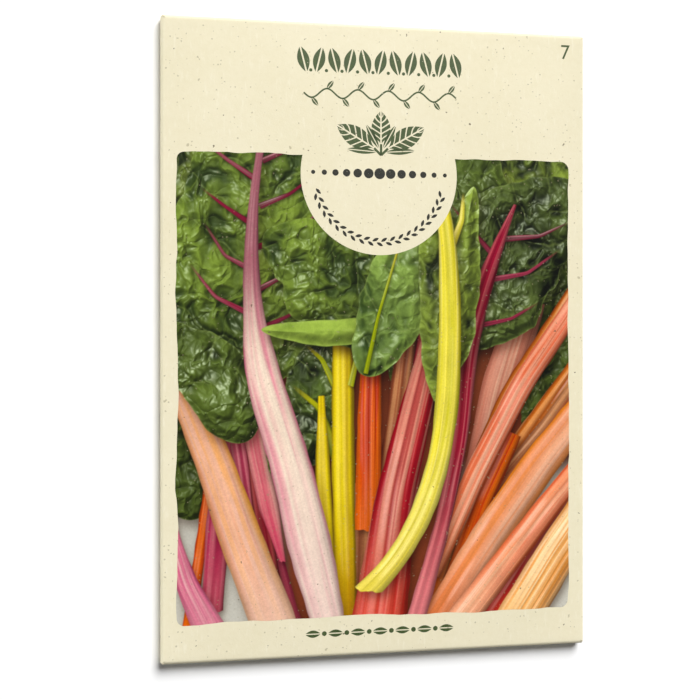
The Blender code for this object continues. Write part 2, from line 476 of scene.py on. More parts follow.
@dataclass
class PaperPacket:
    """One sheet folded round into a flat envelope, and the heights that all printing follows."""

    low: Vector
    high: Vector
    paper: float = 0.2 * MM
    crown: float = 1.0 * MM
    crease: float = 0.7 * MM  # radius of the middle of the paper
    glue_gap: float = 0.16 * MM
    overlap: float = 12 * MM
    seam_rest: float = 1 * MM  # flat paper past the lap, before it steps down to the back
    seam_step: float = 3 * MM
    top_flap: float = 22 * MM
    bottom_flap: float = 16 * MM
    flap_taper: float = 6 * MM
    step: float = 1.0 * MM  # between points of the sheet
    crease_steps: int = 7
    wave: float = 0.035 * MM
    mitre: float = 0.8  # how far the side and end creases reach towards each other at a corner

    def __post_init__(self) -> None:
        """Works out the heights and widths that the folds share."""
        self.edge_top = self.high.z - self.crown
        self.front_z = self.edge_top - self.paper / 2
        self.flap_z = self.low.z + self.paper / 2
        self.back_z = self.flap_z + self.paper + self.glue_gap
        self.inner_z = self.back_z + self.paper + self.glue_gap
        self.side_x = self.high.x - self.paper / 2
        self.panel_x = self.side_x - self.crease
        self.end_y = self.high.y - self.paper / 2
        self.panel_y = self.end_y - self.crease

    def swell(self, x: np.ndarray, y: np.ndarray) -> np.ndarray:
        """How far the front stands out over its edges.

        The crown is (1 - |x|^4) * (1 - |y|^4), with x and y as shares of the half panel. Three slow
        sine waves are taken from it, and die out at the creases.

        Args:
            x: Places across the packet.
            y: Places along it.

        Returns:
            Heights in metres.
        """
        across = 1.0 - np.clip(np.abs(x) / self.panel_x, 0.0, 1.0) ** 4
        upward = 1.0 - np.clip(np.abs(y) / self.panel_y, 0.0, 1.0) ** 4
        waves = np.sin(x / (9 * MM) + 1.3 * np.sin(y / (26 * MM)))
        waves = waves + np.sin(y / (11 * MM) - x / (31 * MM) + 0.8) + np.sin((x + y) / (15 * MM) + 2.1)
        lift = self.crown * across * upward
        return lift - self.wave * (1.0 - waves / 3.0) * np.sqrt(np.clip(across * upward, 0.0, 1.0))

    def front(self, x: np.ndarray, y: np.ndarray, over: float = 0.0) -> np.ndarray:
        """Points a little over the outer face of the front.

        Args:
            x: Places across the packet.
            y: Places along it.
            over: How far over the paper, in metres.

        Returns:
            Three numbers for each place.
        """
        return np.stack([x, y, self.edge_top + self.swell(x, y) + over], axis=-1)

    def arc(self, centre: tuple[float, float], start: float, end: float) -> np.ndarray:
        """Points along a crease, its first point left out, for angles in degrees."""
        turn = np.radians(np.linspace(start, end, self.crease_steps + 1)[1:])
        return np.array(centre) + self.crease * np.stack([np.cos(turn), np.sin(turn)], axis=-1)

    def run(self, start: tuple[float, float], end: tuple[float, float]) -> np.ndarray:
        """Points along a straight stretch, its first point left out, a step apart."""
        start, end = np.array(start), np.array(end)
        count = max(1, int(round(float(np.hypot(*(end - start))) / self.step)))
        return start + (end - start) * np.linspace(0.0, 1.0, count + 1)[1:, None]

    def girth(self) -> tuple[np.ndarray, slice]:
        """The line of the paper round the packet, as x and z, and which of its points are the front."""
        lap = self.overlap / 2
        rise = -lap - self.seam_rest
        bend = self.crease
        left, right = -self.panel_x, self.panel_x
        low, high = self.back_z + bend, self.front_z - bend
        before = [
            np.array([[lap, self.inner_z]]),
            self.run((lap, self.inner_z), (rise, self.inner_z)),
            self.run((rise, self.inner_z), (rise - self.seam_step, self.back_z)),
            self.run((rise - self.seam_step, self.back_z), (left, self.back_z)),
            self.arc((left, low), -90, -180),
            self.run((-self.side_x, low), (-self.side_x, high)),
            self.arc((left, high), 180, 90),
        ]
        front = self.run((left, self.front_z), (right, self.front_z))
        after = [
            self.arc((right, high), 90, 0),
            self.run((self.side_x, high), (self.side_x, low)),
            self.arc((right, low), 0, -90),
            self.run((right, self.back_z), (-lap, self.back_z)),
        ]
        first = sum(len(part) for part in before) - 1
        return np.concatenate([*before, front, *after]), slice(first, first + len(front) + 1)

    def flap_line(self, depth: float) -> np.ndarray:
        """The line of a flap, as distance along the packet and height, from the front's edge on."""
        return np.concatenate(
            [
                self.arc((self.panel_y, self.front_z - self.crease), 90, 0),
                self.run((self.end_y, self.front_z - self.crease), (self.end_y, self.flap_z + self.crease)),
                self.arc((self.panel_y, self.flap_z + self.crease), 0, -90),
                self.run((self.panel_y, self.flap_z), (self.high.y - depth, self.flap_z)),
            ]
        )

    def build(self) -> bpy.types.Object:
        """Builds the sheet: the line of its girth carried along the packet, and two flaps.

        Returns:
            The paper, as a closed solid.
        """
        line, front = self.girth()
        rows = int(round(2 * self.panel_y / self.step)) + 1
        along = np.linspace(-self.panel_y, self.panel_y, rows)
        body = np.empty((rows, len(line), 3))
        body[..., 0] = line[:, 0]
        body[..., 1] = along[:, None]
        body[..., 2] = line[:, 1]
        beyond = self.mitre * np.clip(np.abs(line[:, 0]) - self.panel_x, 0.0, None)
        body[-1, :, 1] += beyond
        body[0, :, 1] -= beyond
        panel = body[:, front]
        panel[..., 2] += self.swell(panel[..., 0], panel[..., 1])
        index = np.arange(rows * len(line)).reshape(rows, len(line))
        points = [body.reshape(-1, 3)]
        quads = [quads_of(index)]
        count = index.size
        for end, depth, edge in ((1, self.top_flap, -1), (-1, self.bottom_flap, 0)):
            path = self.flap_line(depth)
            across = line[front, 0]
            inward = np.clip((self.panel_y - path[:, 0]) / depth, 0.0, 1.0) * (path[:, 1] < self.back_z)
            flap = np.empty((len(path), len(across), 3))
            flap[..., 0] = across * (1.0 - self.flap_taper / self.panel_x * inward[:, None])
            flap[:, 0, 0] -= self.mitre * np.clip(path[:, 0] - self.panel_y, 0.0, None)
            flap[:, -1, 0] += self.mitre * np.clip(path[:, 0] - self.panel_y, 0.0, None)
            flap[..., 1] = end * path[:, :1]
            flap[..., 2] = path[:, 1:]
            numbers = count + np.arange(flap[..., 0].size).reshape(len(path), -1)
            joined = quads_of(np.concatenate([index[edge, front][None], numbers]))
            quads.append(joined if end > 0 else joined[:, ::-1])
            points.append(flap.reshape(-1, 3))
            count += numbers.size
        piece = mesh_piece("folded_paper", np.concatenate(points), np.concatenate(quads))
        thicken(piece, self.paper, 0.0)
        return piece


# ---------------------------------------------------------------------------------------------
# The printed picture: a bunch of chard, painted as arrays.
# ---------------------------------------------------------------------------------------------


def ramp(low: float, high: float, value: np.ndarray) -> np.ndarray:
    """A smooth step: 0 at low, 1 at high, 3t^2 - 2t^3 between them."""
    share = np.clip((value - low) / (high - low), 0.0, 1.0)
    return share * share * (3.0 - 2.0 * share)


def blend(first: np.ndarray, second: np.ndarray, share: np.ndarray) -> np.ndarray:
    """Mixes two colours, or arrays of colours, by a share for every sample."""
    return first + (second - first) * share[..., None]


class Grain:
    """Seeded noise over the plane: lattice noise, its sum over octaves, and a cell pattern."""

    SIZE = 256

    def __init__(self, seed: int) -> None:
        """Fills the lattices.

        Args:
            seed: The seed of this grain's random numbers.
        """
        rng = np.random.default_rng(seed)
        self.lattice = rng.random((self.SIZE, self.SIZE), dtype=np.float32)
        self.shift = rng.random((2, self.SIZE, self.SIZE), dtype=np.float32)

    def smooth(self, x: np.ndarray, y: np.ndarray) -> np.ndarray:
        """Lattice noise: random corner values, joined by a smooth step in both directions.

        Args:
            x: Places in lattice cells.
            y: Places in lattice cells.

        Returns:
            Values from 0 to 1.
        """
        column = np.floor(x).astype(np.int32)
        row = np.floor(y).astype(np.int32)
        right = ramp(0.0, 1.0, x - column)
        up = ramp(0.0, 1.0, y - row)
        last = self.SIZE - 1
        near, far = column & last, (column + 1) & last
        low, high = row & last, (row + 1) & last
        under = self.lattice[low, near] * (1 - right) + self.lattice[low, far] * right
        over = self.lattice[high, near] * (1 - right) + self.lattice[high, far] * right
        return under * (1 - up) + over * up

    def layered(self, x: np.ndarray, y: np.ndarray, octaves: int) -> np.ndarray:
        """A sum of lattice noises, each at twice the last one's frequency and half its height.

        Args:
            x: Places in cells of the first octave.
            y: Places in cells of the first octave.
            octaves: How many noises are summed.

        Returns:
            Values from 0 to 1, most of them near the middle.
        """
        total = np.zeros(np.broadcast(x, y).shape, dtype=np.float32)
        weight, height = 0.0, 1.0
        for octave in range(octaves):
            step = 2.0**octave
            total += height * self.smooth(x * step + 17.3 * octave, y * step + 9.1 * octave)
            weight += height
            height *= 0.5
        return total / weight

    def cells(self, x: np.ndarray, y: np.ndarray) -> tuple[np.ndarray, np.ndarray]:
        """The distances to the two nearest of a set of points, one point in each unit cell.

        Args:
            x: Places in cells.
            y: Places in cells.

        Returns:
            The nearest and the second nearest distance.
        """
        column = np.floor(x).astype(np.int32)
        row = np.floor(y).astype(np.int32)
        nearest = np.full(x.shape, 9.0, dtype=np.float32)
        second = nearest.copy()
        last = self.SIZE - 1
        for down in (-1, 0, 1):
            for along in (-1, 0, 1):
                cell = ((row + down) & last, (column + along) & last)
                across = column + along + self.shift[0][cell] - x
                upward = row + down + self.shift[1][cell] - y
                distance = np.sqrt(across * across + upward * upward)
                second = np.minimum(second, np.maximum(nearest, distance))
                nearest = np.minimum(nearest, distance)
        return nearest, second


@dataclass(frozen=True)
class Lamp:
    """The light inside the picture: one soft lamp from the upper left and a pale sky."""

    towards: tuple[float, float, float] = (-0.36, 0.52, 0.78)
    sky: float = 0.42
    beam: float = 0.72

    def shade(self, height: np.ndarray, pitch: float, sharp: float) -> tuple[np.ndarray, np.ndarray]:
        """Lights a relief, from the slope of its height.

        Args:
            height: The relief's height in mm.
            pitch: The distance between samples in mm.
            sharp: The exponent of the highlight.

        Returns:
            How bright the matte part is, and how strong the highlight, for every sample.
        """
        rise_y, rise_x = np.gradient(height, pitch)
        flat = 1.0 / np.sqrt(1.0 + rise_x * rise_x + rise_y * rise_y)
        lamp = np.array(self.towards) / np.linalg.norm(self.towards)
        facing = (lamp[2] - rise_x * lamp[0] - rise_y * lamp[1]) * flat
        halfway = lamp + np.array([0.0, 0.0, 1.0])
        halfway = halfway / np.linalg.norm(halfway)
        mirror = (halfway[2] - rise_x * halfway[0] - rise_y * halfway[1]) * flat
        matte = self.sky * (0.5 + 0.5 * flat) + self.beam * np.clip(facing, 0.0, None)
        return matte, np.clip(mirror, 0.0, None) ** sharp


LAMP = Lamp()


class Canvas:
    """The picture while it is painted: the place of every sample in mm, and its colour."""

    def __init__(self, low: Point, high: Point, pitch: float) -> None:
        """Makes an empty canvas.

        Args:
            low: The lower left corner, in mm.
            high: The upper right corner, in mm.
            pitch: The distance between samples, in mm.
        """
        self.low = low
        self.pitch = pitch
        columns = int(round((high[0] - low[0]) / pitch)) + 1
        rows = int(round((high[1] - low[1]) / pitch)) + 1
        across = np.linspace(low[0], high[0], columns, dtype=np.float32)
        upward = np.linspace(low[1], high[1], rows, dtype=np.float32)
        self.x, self.y = np.meshgrid(across, upward)
        self.colour = np.zeros((rows, columns, 3), dtype=np.float32)

    def window(self, low: Point, high: Point) -> tuple[slice, slice]:
        """The rows and columns between two corners, cut to the canvas."""
        first = [max(0, int((value - start) / self.pitch)) for value, start in zip(low, self.low)]
        last = [max(0, int((value - start) / self.pitch) + 2) for value, start in zip(high, self.low)]
        return slice(first[1], last[1]), slice(first[0], last[0])

    def blur(self, mask: np.ndarray, reach: float) -> np.ndarray:
        """Spreads a mask: three running means in each direction, close to a bell curve.

        Args:
            mask: The values to spread.
            reach: How far they spread, in mm.

        Returns:
            The spread values.
        """
        half = max(1, int(round(reach / self.pitch / 2)))
        for axis in (0, 1):
            for _ in range(3):
                pad = [(0, 0), (0, 0)]
                pad[axis] = (half + 1, half)
                total = np.cumsum(np.pad(mask, pad, mode="edge"), axis=axis, dtype=np.float64)
                ahead = np.take(total, range(2 * half + 1, total.shape[axis]), axis=axis)
                behind = np.take(total, range(0, total.shape[axis] - 2 * half - 1), axis=axis)
                mask = ((ahead - behind) / (2 * half + 1)).astype(np.float32)
        return mask

    def drop_shadow(self, area: tuple[slice, slice], mask: np.ndarray, lift: float, depth: float) -> None:
        """Darkens what lies under a piece, beside and below it.

        Args:
            area: The rows and columns that the mask covers.
            mask: The piece's cover.
            lift: How high the piece lies over the rest, in mm.
            depth: How dark the shadow is, from 0 to 1.
        """
        shift = max(1, int(round(0.35 * lift / self.pitch)))
        cast = np.pad(mask, ((0, 2 * shift), (shift, 0)), mode="edge")[2 * shift :, : mask.shape[1]]
        near = self.blur(cast, 0.9 * lift)
        wide = self.blur(mask, 2.6 * lift)
        light = (1.0 - depth * near) * (1.0 - 0.5 * depth * wide)
        tint = np.array([1.0, 1.12, 1.2], dtype=np.float32)
        self.colour[area] *= np.clip(light[..., None], 0.0, 1.0) ** tint

    def lay(self, area: tuple[slice, slice], mask: np.ndarray, colour: np.ndarray) -> None:
        """Paints a piece over what is there, by its cover."""
        self.colour[area] = blend(self.colour[area], colour, mask)

    def blend_down(self) -> np.ndarray:
        """The colour at every second sample, softened over its neighbours with weights 1, 2, 1."""
        wide = np.pad(self.colour, ((1, 1), (1, 1), (0, 0)), mode="edge")
        rows = wide[:-2] + 2 * wide[1:-1] + wide[2:]
        both = rows[:, :-2] + 2 * rows[:, 1:-1] + rows[:, 2:]
        return np.clip(both[::2, ::2] / 16.0, 0.0, 1.0)


@dataclass(frozen=True)
class Skin:
    """The colours of a stalk: down its middle, at its edges, in its streaks, at its head and foot."""

    middle: Colour
    edge: Colour
    streak: Colour
    foot: Colour
    head: Colour | None = None
    head_to: float = 0.5  # how far down the head's colour reaches, as a share of the length
    edge_from: float = 0.55  # how far from the middle the edge's colour starts
    streaks: float = 0.6  # how strong the streaks are
    fineness: float = 1.2  # how close together the fibres lie
    gloss: float = 0.2
    mottle: float = 0.05


class Dye(Enum):
    """The colourings of the stalks and veins."""

    IVORY = Skin(
        linear(242, 228, 208), linear(222, 118, 146), linear(232, 208, 190), linear(238, 212, 202),
        head=linear(146, 88, 98), head_to=0.39, edge_from=0.74, streaks=0.5, fineness=0.9, mottle=0.06,
    )
    BLUSH = Skin(
        linear(222, 160, 152), linear(196, 62, 92), linear(232, 196, 180), linear(206, 90, 112),
        edge_from=0.4,
    )
    PLUM = Skin(
        linear(190, 88, 110), linear(146, 36, 66), linear(220, 140, 146), linear(176, 84, 96), streaks=0.6,
    )
    WINE = Skin(
        linear(158, 52, 62), linear(104, 24, 36), linear(196, 108, 104), linear(150, 48, 50), gloss=0.12,
    )
    ROSEWOOD = Skin(
        linear(166, 104, 76), linear(104, 48, 34), linear(196, 146, 108), linear(120, 56, 38), gloss=0.12,
    )
    PEACH = Skin(
        linear(230, 190, 166), linear(236, 168, 96), linear(216, 156, 138), linear(232, 196, 176),
        edge_from=0.66, streaks=0.5, fineness=0.8, mottle=0.08,
    )
    LEMON = Skin(
        linear(238, 222, 104), linear(194, 186, 70), linear(244, 234, 150), linear(230, 210, 108),
        edge_from=0.72, streaks=0.6, mottle=0.04,
    )
    GOLD = Skin(
        linear(222, 196, 44), linear(168, 140, 18), linear(238, 218, 80), linear(180, 122, 44),
        fineness=0.9,
    )
    EMBER = Skin(
        linear(204, 84, 40), linear(156, 50, 16), linear(228, 124, 74), linear(220, 114, 52), streaks=0.7,
    )
    CRIMSON = Skin(
        linear(178, 60, 64), linear(142, 32, 42), linear(220, 158, 138), linear(210, 82, 70), fineness=0.8,
    )
    MAGENTA = Skin(
        linear(160, 50, 66), linear(110, 22, 40), linear(206, 120, 122), linear(222, 142, 142), streaks=0.6,
    )
    DUSTY = Skin(
        linear(204, 150, 128), linear(176, 104, 88), linear(216, 172, 150), linear(196, 112, 92), gloss=0.1,
    )
    CORAL = Skin(
        linear(220, 142, 116), linear(200, 88, 60), linear(236, 190, 164), linear(220, 132, 98),
        streaks=0.75,
    )
    COPPER = Skin(
        linear(196, 120, 70), linear(146, 72, 40), linear(220, 160, 112), linear(182, 84, 48), streaks=0.6,
    )
    SALMON = Skin(
        linear(222, 154, 122), linear(224, 136, 74), linear(234, 186, 158), linear(222, 130, 92),
        fineness=0.8,
    )
    SHELL = Skin(
        linear(234, 184, 152), linear(214, 88, 62), linear(232, 140, 104), linear(234, 180, 148),
        edge_from=0.5,
    )
    APRICOT = Skin(
        linear(236, 188, 134), linear(226, 148, 84), linear(246, 218, 176), linear(238, 186, 130),
        streaks=0.85, fineness=1.8,
    )
    CANDY = Skin(
        linear(226, 180, 180), linear(208, 112, 136), linear(200, 96, 130), linear(216, 142, 156),
        streaks=0.8, fineness=1.8,
    )
    VEIN = Skin(
        linear(134, 42, 62), linear(84, 24, 36), linear(170, 84, 100), linear(92, 44, 44), gloss=0.3,
    )
    LIME = Skin(linear(164, 172, 52), linear(104, 120, 34), linear(190, 188, 76), linear(186, 164, 40))


# The leaves' tones, from the deepest shade to the sun.
NIGHT = linear(18, 26, 10)
DEEP = linear(28, 38, 12)
MOSS = linear(82, 100, 32)
SUNNY = linear(126, 146, 50)


def eased(knots: np.ndarray, values: np.ndarray, length: float) -> tuple[np.ndarray, np.ndarray]:
    """A smooth line past a few values: straight stretches, rounded by a bell-weighted running mean.

    Args:
        knots: Where the values are, from 0 to length.
        values: The values.
        length: The line's length.

    Returns:
        Even places from before the first value to past the last, and the value at each of them.
    """
    samples, window = 281, 43
    places = np.linspace(-0.2 * length, 1.2 * length, samples)
    line = np.interp(places, knots, values)
    first = (values[1] - values[0]) / (knots[1] - knots[0])
    last = (values[-1] - values[-2]) / (knots[-1] - knots[-2])
    line = line + np.minimum(places, 0.0) * first + np.maximum(places - length, 0.0) * last
    bell = np.hanning(window)
    return places, np.convolve(np.pad(line, window // 2, mode="edge"), bell / bell.sum(), mode="valid")


class Chord:
    """A straight line between two points, which places are measured along and beside."""

    def __init__(self, start: Point, end: Point) -> None:
        """Works out its length and its directions."""
        self.start = np.array(start, dtype=float)
        self.span = np.array(end, dtype=float) - self.start
        self.length = float(np.hypot(*self.span))
        self.ahead = self.span / self.length
        self.beside = np.array([-self.ahead[1], self.ahead[0]])

    def along(self, x: np.ndarray, y: np.ndarray) -> np.ndarray:
        """How far along it places are."""
        return (x - self.start[0]) * self.ahead[0] + (y - self.start[1]) * self.ahead[1]

    def off(self, x: np.ndarray, y: np.ndarray) -> np.ndarray:
        """How far to its left places are."""
        return (x - self.start[0]) * self.beside[0] + (y - self.start[1]) * self.beside[1]


@dataclass(frozen=True)
class Stalk:
    """A stalk or a vein, as a band along a smooth line with a rounded, grooved profile.

    Its line follows its points, smoothed, and is measured from the chord between its two ends. Across
    it, u goes from -1 at one edge to 1 at the other. Its height is half the width times
    round * (1 - |u|^3), less soft grooves where a cosine of u peaks, and with fine fibres on it.
    """

    path: tuple[Point, ...]
    widths: tuple[float, ...]
    skin: Dye
    grooves: float = 2.0  # how many, from the middle to the edge
    groove_depth: float = 0.06
    round: float = 0.42
    lift: float = 1.2  # how high it lies over what is under it
    shadow: float = 0.6
    cut: float = 0.0  # how far its lower end is hollowed
    seed: int = 1
    fade: bool = False

    def paint(self, canvas: Canvas) -> None:
        """Paints the stalk and its shadow.

        Args:
            canvas: The picture.
        """
        # Its smooth line and its width, and the part of the canvas that it can reach.
        points = np.array(self.path, dtype=float)
        chord = Chord(self.path[0], self.path[-1])
        length = chord.length
        knots = (points - chord.start) @ chord.ahead
        places, line = eased(knots, (points - chord.start) @ chord.beside, length)
        width_at = np.interp(np.linspace(0.0, 1.0, len(self.widths)), np.linspace(0, 1, len(knots)), knots)
        wide = eased(width_at, np.array(self.widths), length)[1]

        reach = max(self.widths) + 4 * self.lift
        trace = chord.start + places[:, None] * chord.ahead + line[:, None] * chord.beside
        trace = trace[(places >= 0) & (places <= length)]
        area = canvas.window(tuple(trace.min(axis=0) - reach), tuple(trace.max(axis=0) + reach))
        x, y = canvas.x[area], canvas.y[area]
        if x.size == 0:
            return

        # Where each sample lies: along it, and across it as a share of the half width.
        along, off = chord.along(x, y), chord.off(x, y)
        slope = np.interp(along, places, np.gradient(line, places))
        half = np.maximum(np.interp(along, places, wide), 0.05) / 2
        across = (off - np.interp(along, places, line)) / np.sqrt(1.0 + slope * slope)
        u = (across / half).astype(np.float32)

        # Its cover: a slightly ragged edge, its two ends, and a fade where it is asked for.
        grain = Grain(self.seed)
        ragged = 0.22 * (grain.smooth(along * 0.35, across * 0.0 + 3.0) - 0.5) * np.minimum(half, 1.0)
        end = length - along + self.cut * (0.5 - 0.5 * u * u) + 0.5 * (grain.smooth(u * 3, u * 0) - 0.5)
        cover = np.clip(((1 - np.abs(u)) * half + ragged) / canvas.pitch + 0.5, 0.0, 1.0)
        cover = cover * np.clip(end / canvas.pitch + 0.5, 0.0, 1.0)
        cover = cover * np.clip((along + 0.5) / canvas.pitch + 0.5, 0.0, 1.0)
        if self.fade:
            cover = cover * ramp(0.0, 0.35 * length, length - along)

        # Its relief, in the light.
        skin = self.skin.value
        side = np.clip(np.abs(u), 0.0, 1.2)
        wander = grain.smooth(along * 0.025, along * 0.0) - 0.5
        bent = u + 0.35 * wander + 0.3 * (grain.smooth(u * 1.3 + 9, along * 0.012) - 0.5)
        groove = (0.5 + 0.5 * np.cos(np.pi * self.grooves * bent)) ** 2.5
        fine = skin.fineness
        fibres = grain.layered(across * fine * 1.5 + 40, along * 0.02 * fine, 3)
        height = half * self.round * (1 - side**3) - self.groove_depth * np.minimum(half, 2.5) * groove
        height = height + 0.10 * np.minimum(half, 1.5) * fibres
        matte, shine = LAMP.shade(height, canvas.pitch, sharp=22.0)

        # Its colours: middle and edge, streaks and fibres, foot and head, then blotches.
        edge = ramp(skin.edge_from, 1.0, side + 0.3 * (fibres - 0.5))
        band = grain.smooth(bent * self.grooves * 0.9 + 20, along * 0.008)
        colour = blend(np.array(skin.middle), np.array(skin.edge), edge)
        colour = blend(colour, np.array(skin.streak), ramp(0.36, 0.60, band) * 0.7 * skin.streaks)
        colour = blend(colour, np.array(skin.streak), ramp(0.48, 0.60, fibres) * skin.streaks)
        colour = blend(colour, np.array(skin.edge), ramp(0.44, 0.34, fibres) * 0.8 * skin.streaks)
        warm = ramp(0.50, 0.66, grain.layered(bent * 1.9 + 60, along * 0.012, 3))
        colour = blend(colour, np.array(skin.edge), 0.20 * groove + 0.5 * warm)
        colour = blend(colour, np.array(skin.foot), ramp(0.55, 1.05, along / length) * 0.8)
        if skin.head is not None:
            reach = ramp(skin.head_to + 0.1, skin.head_to - 0.12, along / length + 0.1 * (fibres - 0.5))
            colour = blend(colour, np.array(skin.head), 0.92 * reach)
        blotch = grain.layered(x * 0.35, y * 0.22, 3) - 0.5
        speckle = grain.layered(x * 2.3, y * 1.7, 2) - 0.5
        colour = colour * (1.0 + 0.2 * blotch + 1.5 * skin.mottle * speckle)[..., None]
        grey = colour.mean(axis=-1, keepdims=True)
        colour = np.clip(grey + 1.22 * (colour - grey), 0.0, 1.0)

        # A dark rim and a broken gloss, over its shadow.
        rim = 1.0 - 0.34 * ramp(0.72, 1.06, side)
        patchy = ramp(0.35, 0.7, grain.smooth(along * 0.10, across * 0.5 + 7))
        glare = (skin.gloss * shine**1.5 * patchy)[..., None] * np.array([1.0, 0.97, 0.9])
        colour = colour * (matte * rim)[..., None] + glare
        canvas.drop_shadow(area, cover, self.lift, self.shadow)
        canvas.lay(area, cover, colour)


@dataclass(frozen=True)
class Blade:
    """A leaf blade: a broad band along a bent spine, puckered between its veins.

    Its half width follows a power of the sine of the way along, and its edge frills with noise. The
    pucker is a cell pattern of pillows under slow folds, with wrinkles whose crests run in every
    direction, and valleys along side veins that leave the spine at an angle.
    """

    base: Point
    tip: Point
    width: float
    bend: float = 0.0
    dark: Colour = linear(44, 60, 18)
    fresh: Colour = linear(112, 134, 42)
    vein: Colour = linear(142, 160, 78)
    pucker: float = 5.0
    relief: float = 1.0
    gloss: float = 0.5
    bright: float = 1.0
    veins: float = 8.0
    belly: float = 0.8
    lift: float = 2.0
    shadow: float = 0.65
    seed: int = 1

    def paint(self, canvas: Canvas) -> None:
        """Paints the blade and its shadow.

        Args:
            canvas: The picture.
        """
        # The part of the canvas that it can reach, and its outline.
        chord = Chord(self.base, self.tip)
        length = chord.length
        corners = np.array([self.base, self.tip])
        reach = self.width * 0.62 + abs(self.bend) + 2
        area = canvas.window(tuple(corners.min(axis=0) - reach), tuple(corners.max(axis=0) + reach))
        x, y = canvas.x[area], canvas.y[area]
        if x.size == 0:
            return
        grain = Grain(self.seed)
        along, off = chord.along(x, y), chord.off(x, y)
        share = np.clip(along / length, 0.0, 1.0)
        across = off - self.bend * 4 * share * (1 - share)
        frill = grain.layered(x * 0.16, y * 0.16, 3) - 0.5
        outline = np.clip(np.sin(np.pi * share**self.belly), 0.0, 1.0) ** 0.6
        half = 0.5 * self.width * outline * (1 + 0.5 * frill)
        edge = np.minimum(half - np.abs(across), np.minimum(along, length - along) * 2 + 0.01)
        cover = np.clip(edge / canvas.pitch + 0.5, 0.0, 1.0)

        # Its relief, in the light: pillows, folds, wrinkles and the valleys along its veins.
        bent_x = x + 3.2 * (grain.layered(x * 0.2 + 5, y * 0.2, 3) - 0.5)
        bent_y = y + 3.2 * (grain.layered(x * 0.2, y * 0.2 + 9, 3) - 0.5)
        near, second = grain.cells(bent_x / self.pucker, bent_y / self.pucker * 1.2)
        pillow = np.sqrt(np.clip((second - near) / 0.9, 0.0, 1.0) + 0.02)
        folds = grain.layered(bent_x * 0.12 + 3, bent_y * 0.09, 2)
        swell = grain.layered(x * 0.07, y * 0.07, 2)
        wrinkle = 1 - np.abs(2 * grain.layered(bent_x * 0.36 + 11, bent_y * 0.30, 3) - 1)
        phase = (along - 0.8 * np.abs(across)) / self.veins + 0.5 * (across > 0) + 0.8 * frill
        to_vein = np.abs(phase - np.round(phase)) * self.veins
        valley = np.exp(-((to_vein / 1.1) ** 2)) * ramp(1.0, 0.3, np.abs(across) / (half + 0.1))
        valley = valley * ramp(0.2, 2.2, np.abs(across))
        height = self.relief * (0.6 * pillow + 1.5 * wrinkle + 3.2 * folds - 0.9 * valley)
        height = height + 4.5 * swell - 1.5 * ramp(2.6, 0.0, edge)
        matte, shine = LAMP.shade(height, canvas.pitch, sharp=12.0)
        glint = shine**5

        # Its colours: darker in the hollows, paler along veins and edge, with a broken sheen.
        tone = 0.20 + 0.2 * pillow + 1.1 * (wrinkle - 0.55) + 1.4 * (folds - 0.42) + 1.1 * (swell - 0.5)
        colour = blend(np.array(self.dark), np.array(self.fresh), np.clip(tone - 0.35 * valley, 0.0, 1.0))
        thread = ramp(0.07, 0.0, second - near) * 0.05
        thread = thread + 0.2 * ramp(0.35, 0.0, to_vein) * ramp(0.3, 2.2, np.abs(across))
        colour = blend(colour, np.array(self.vein), thread)
        colour = blend(colour, np.array(self.vein), ramp(0.45, 0.0, edge) * 0.25)
        hush = ramp(0.40, 0.62, grain.layered(x * 0.3 + 60, y * 0.3, 2))
        sheen = 0.17 * shine * (0.3 + 0.7 * hush) + 0.5 * glint * hush
        glare = (self.gloss * sheen)[..., None] * np.array([0.88, 1.0, 0.68])
        lit = (matte**1.35)[..., None] * colour * 1.25
        canvas.drop_shadow(area, cover, self.lift, self.shadow)
        canvas.lay(area, cover, (lit + glare) * self.bright)


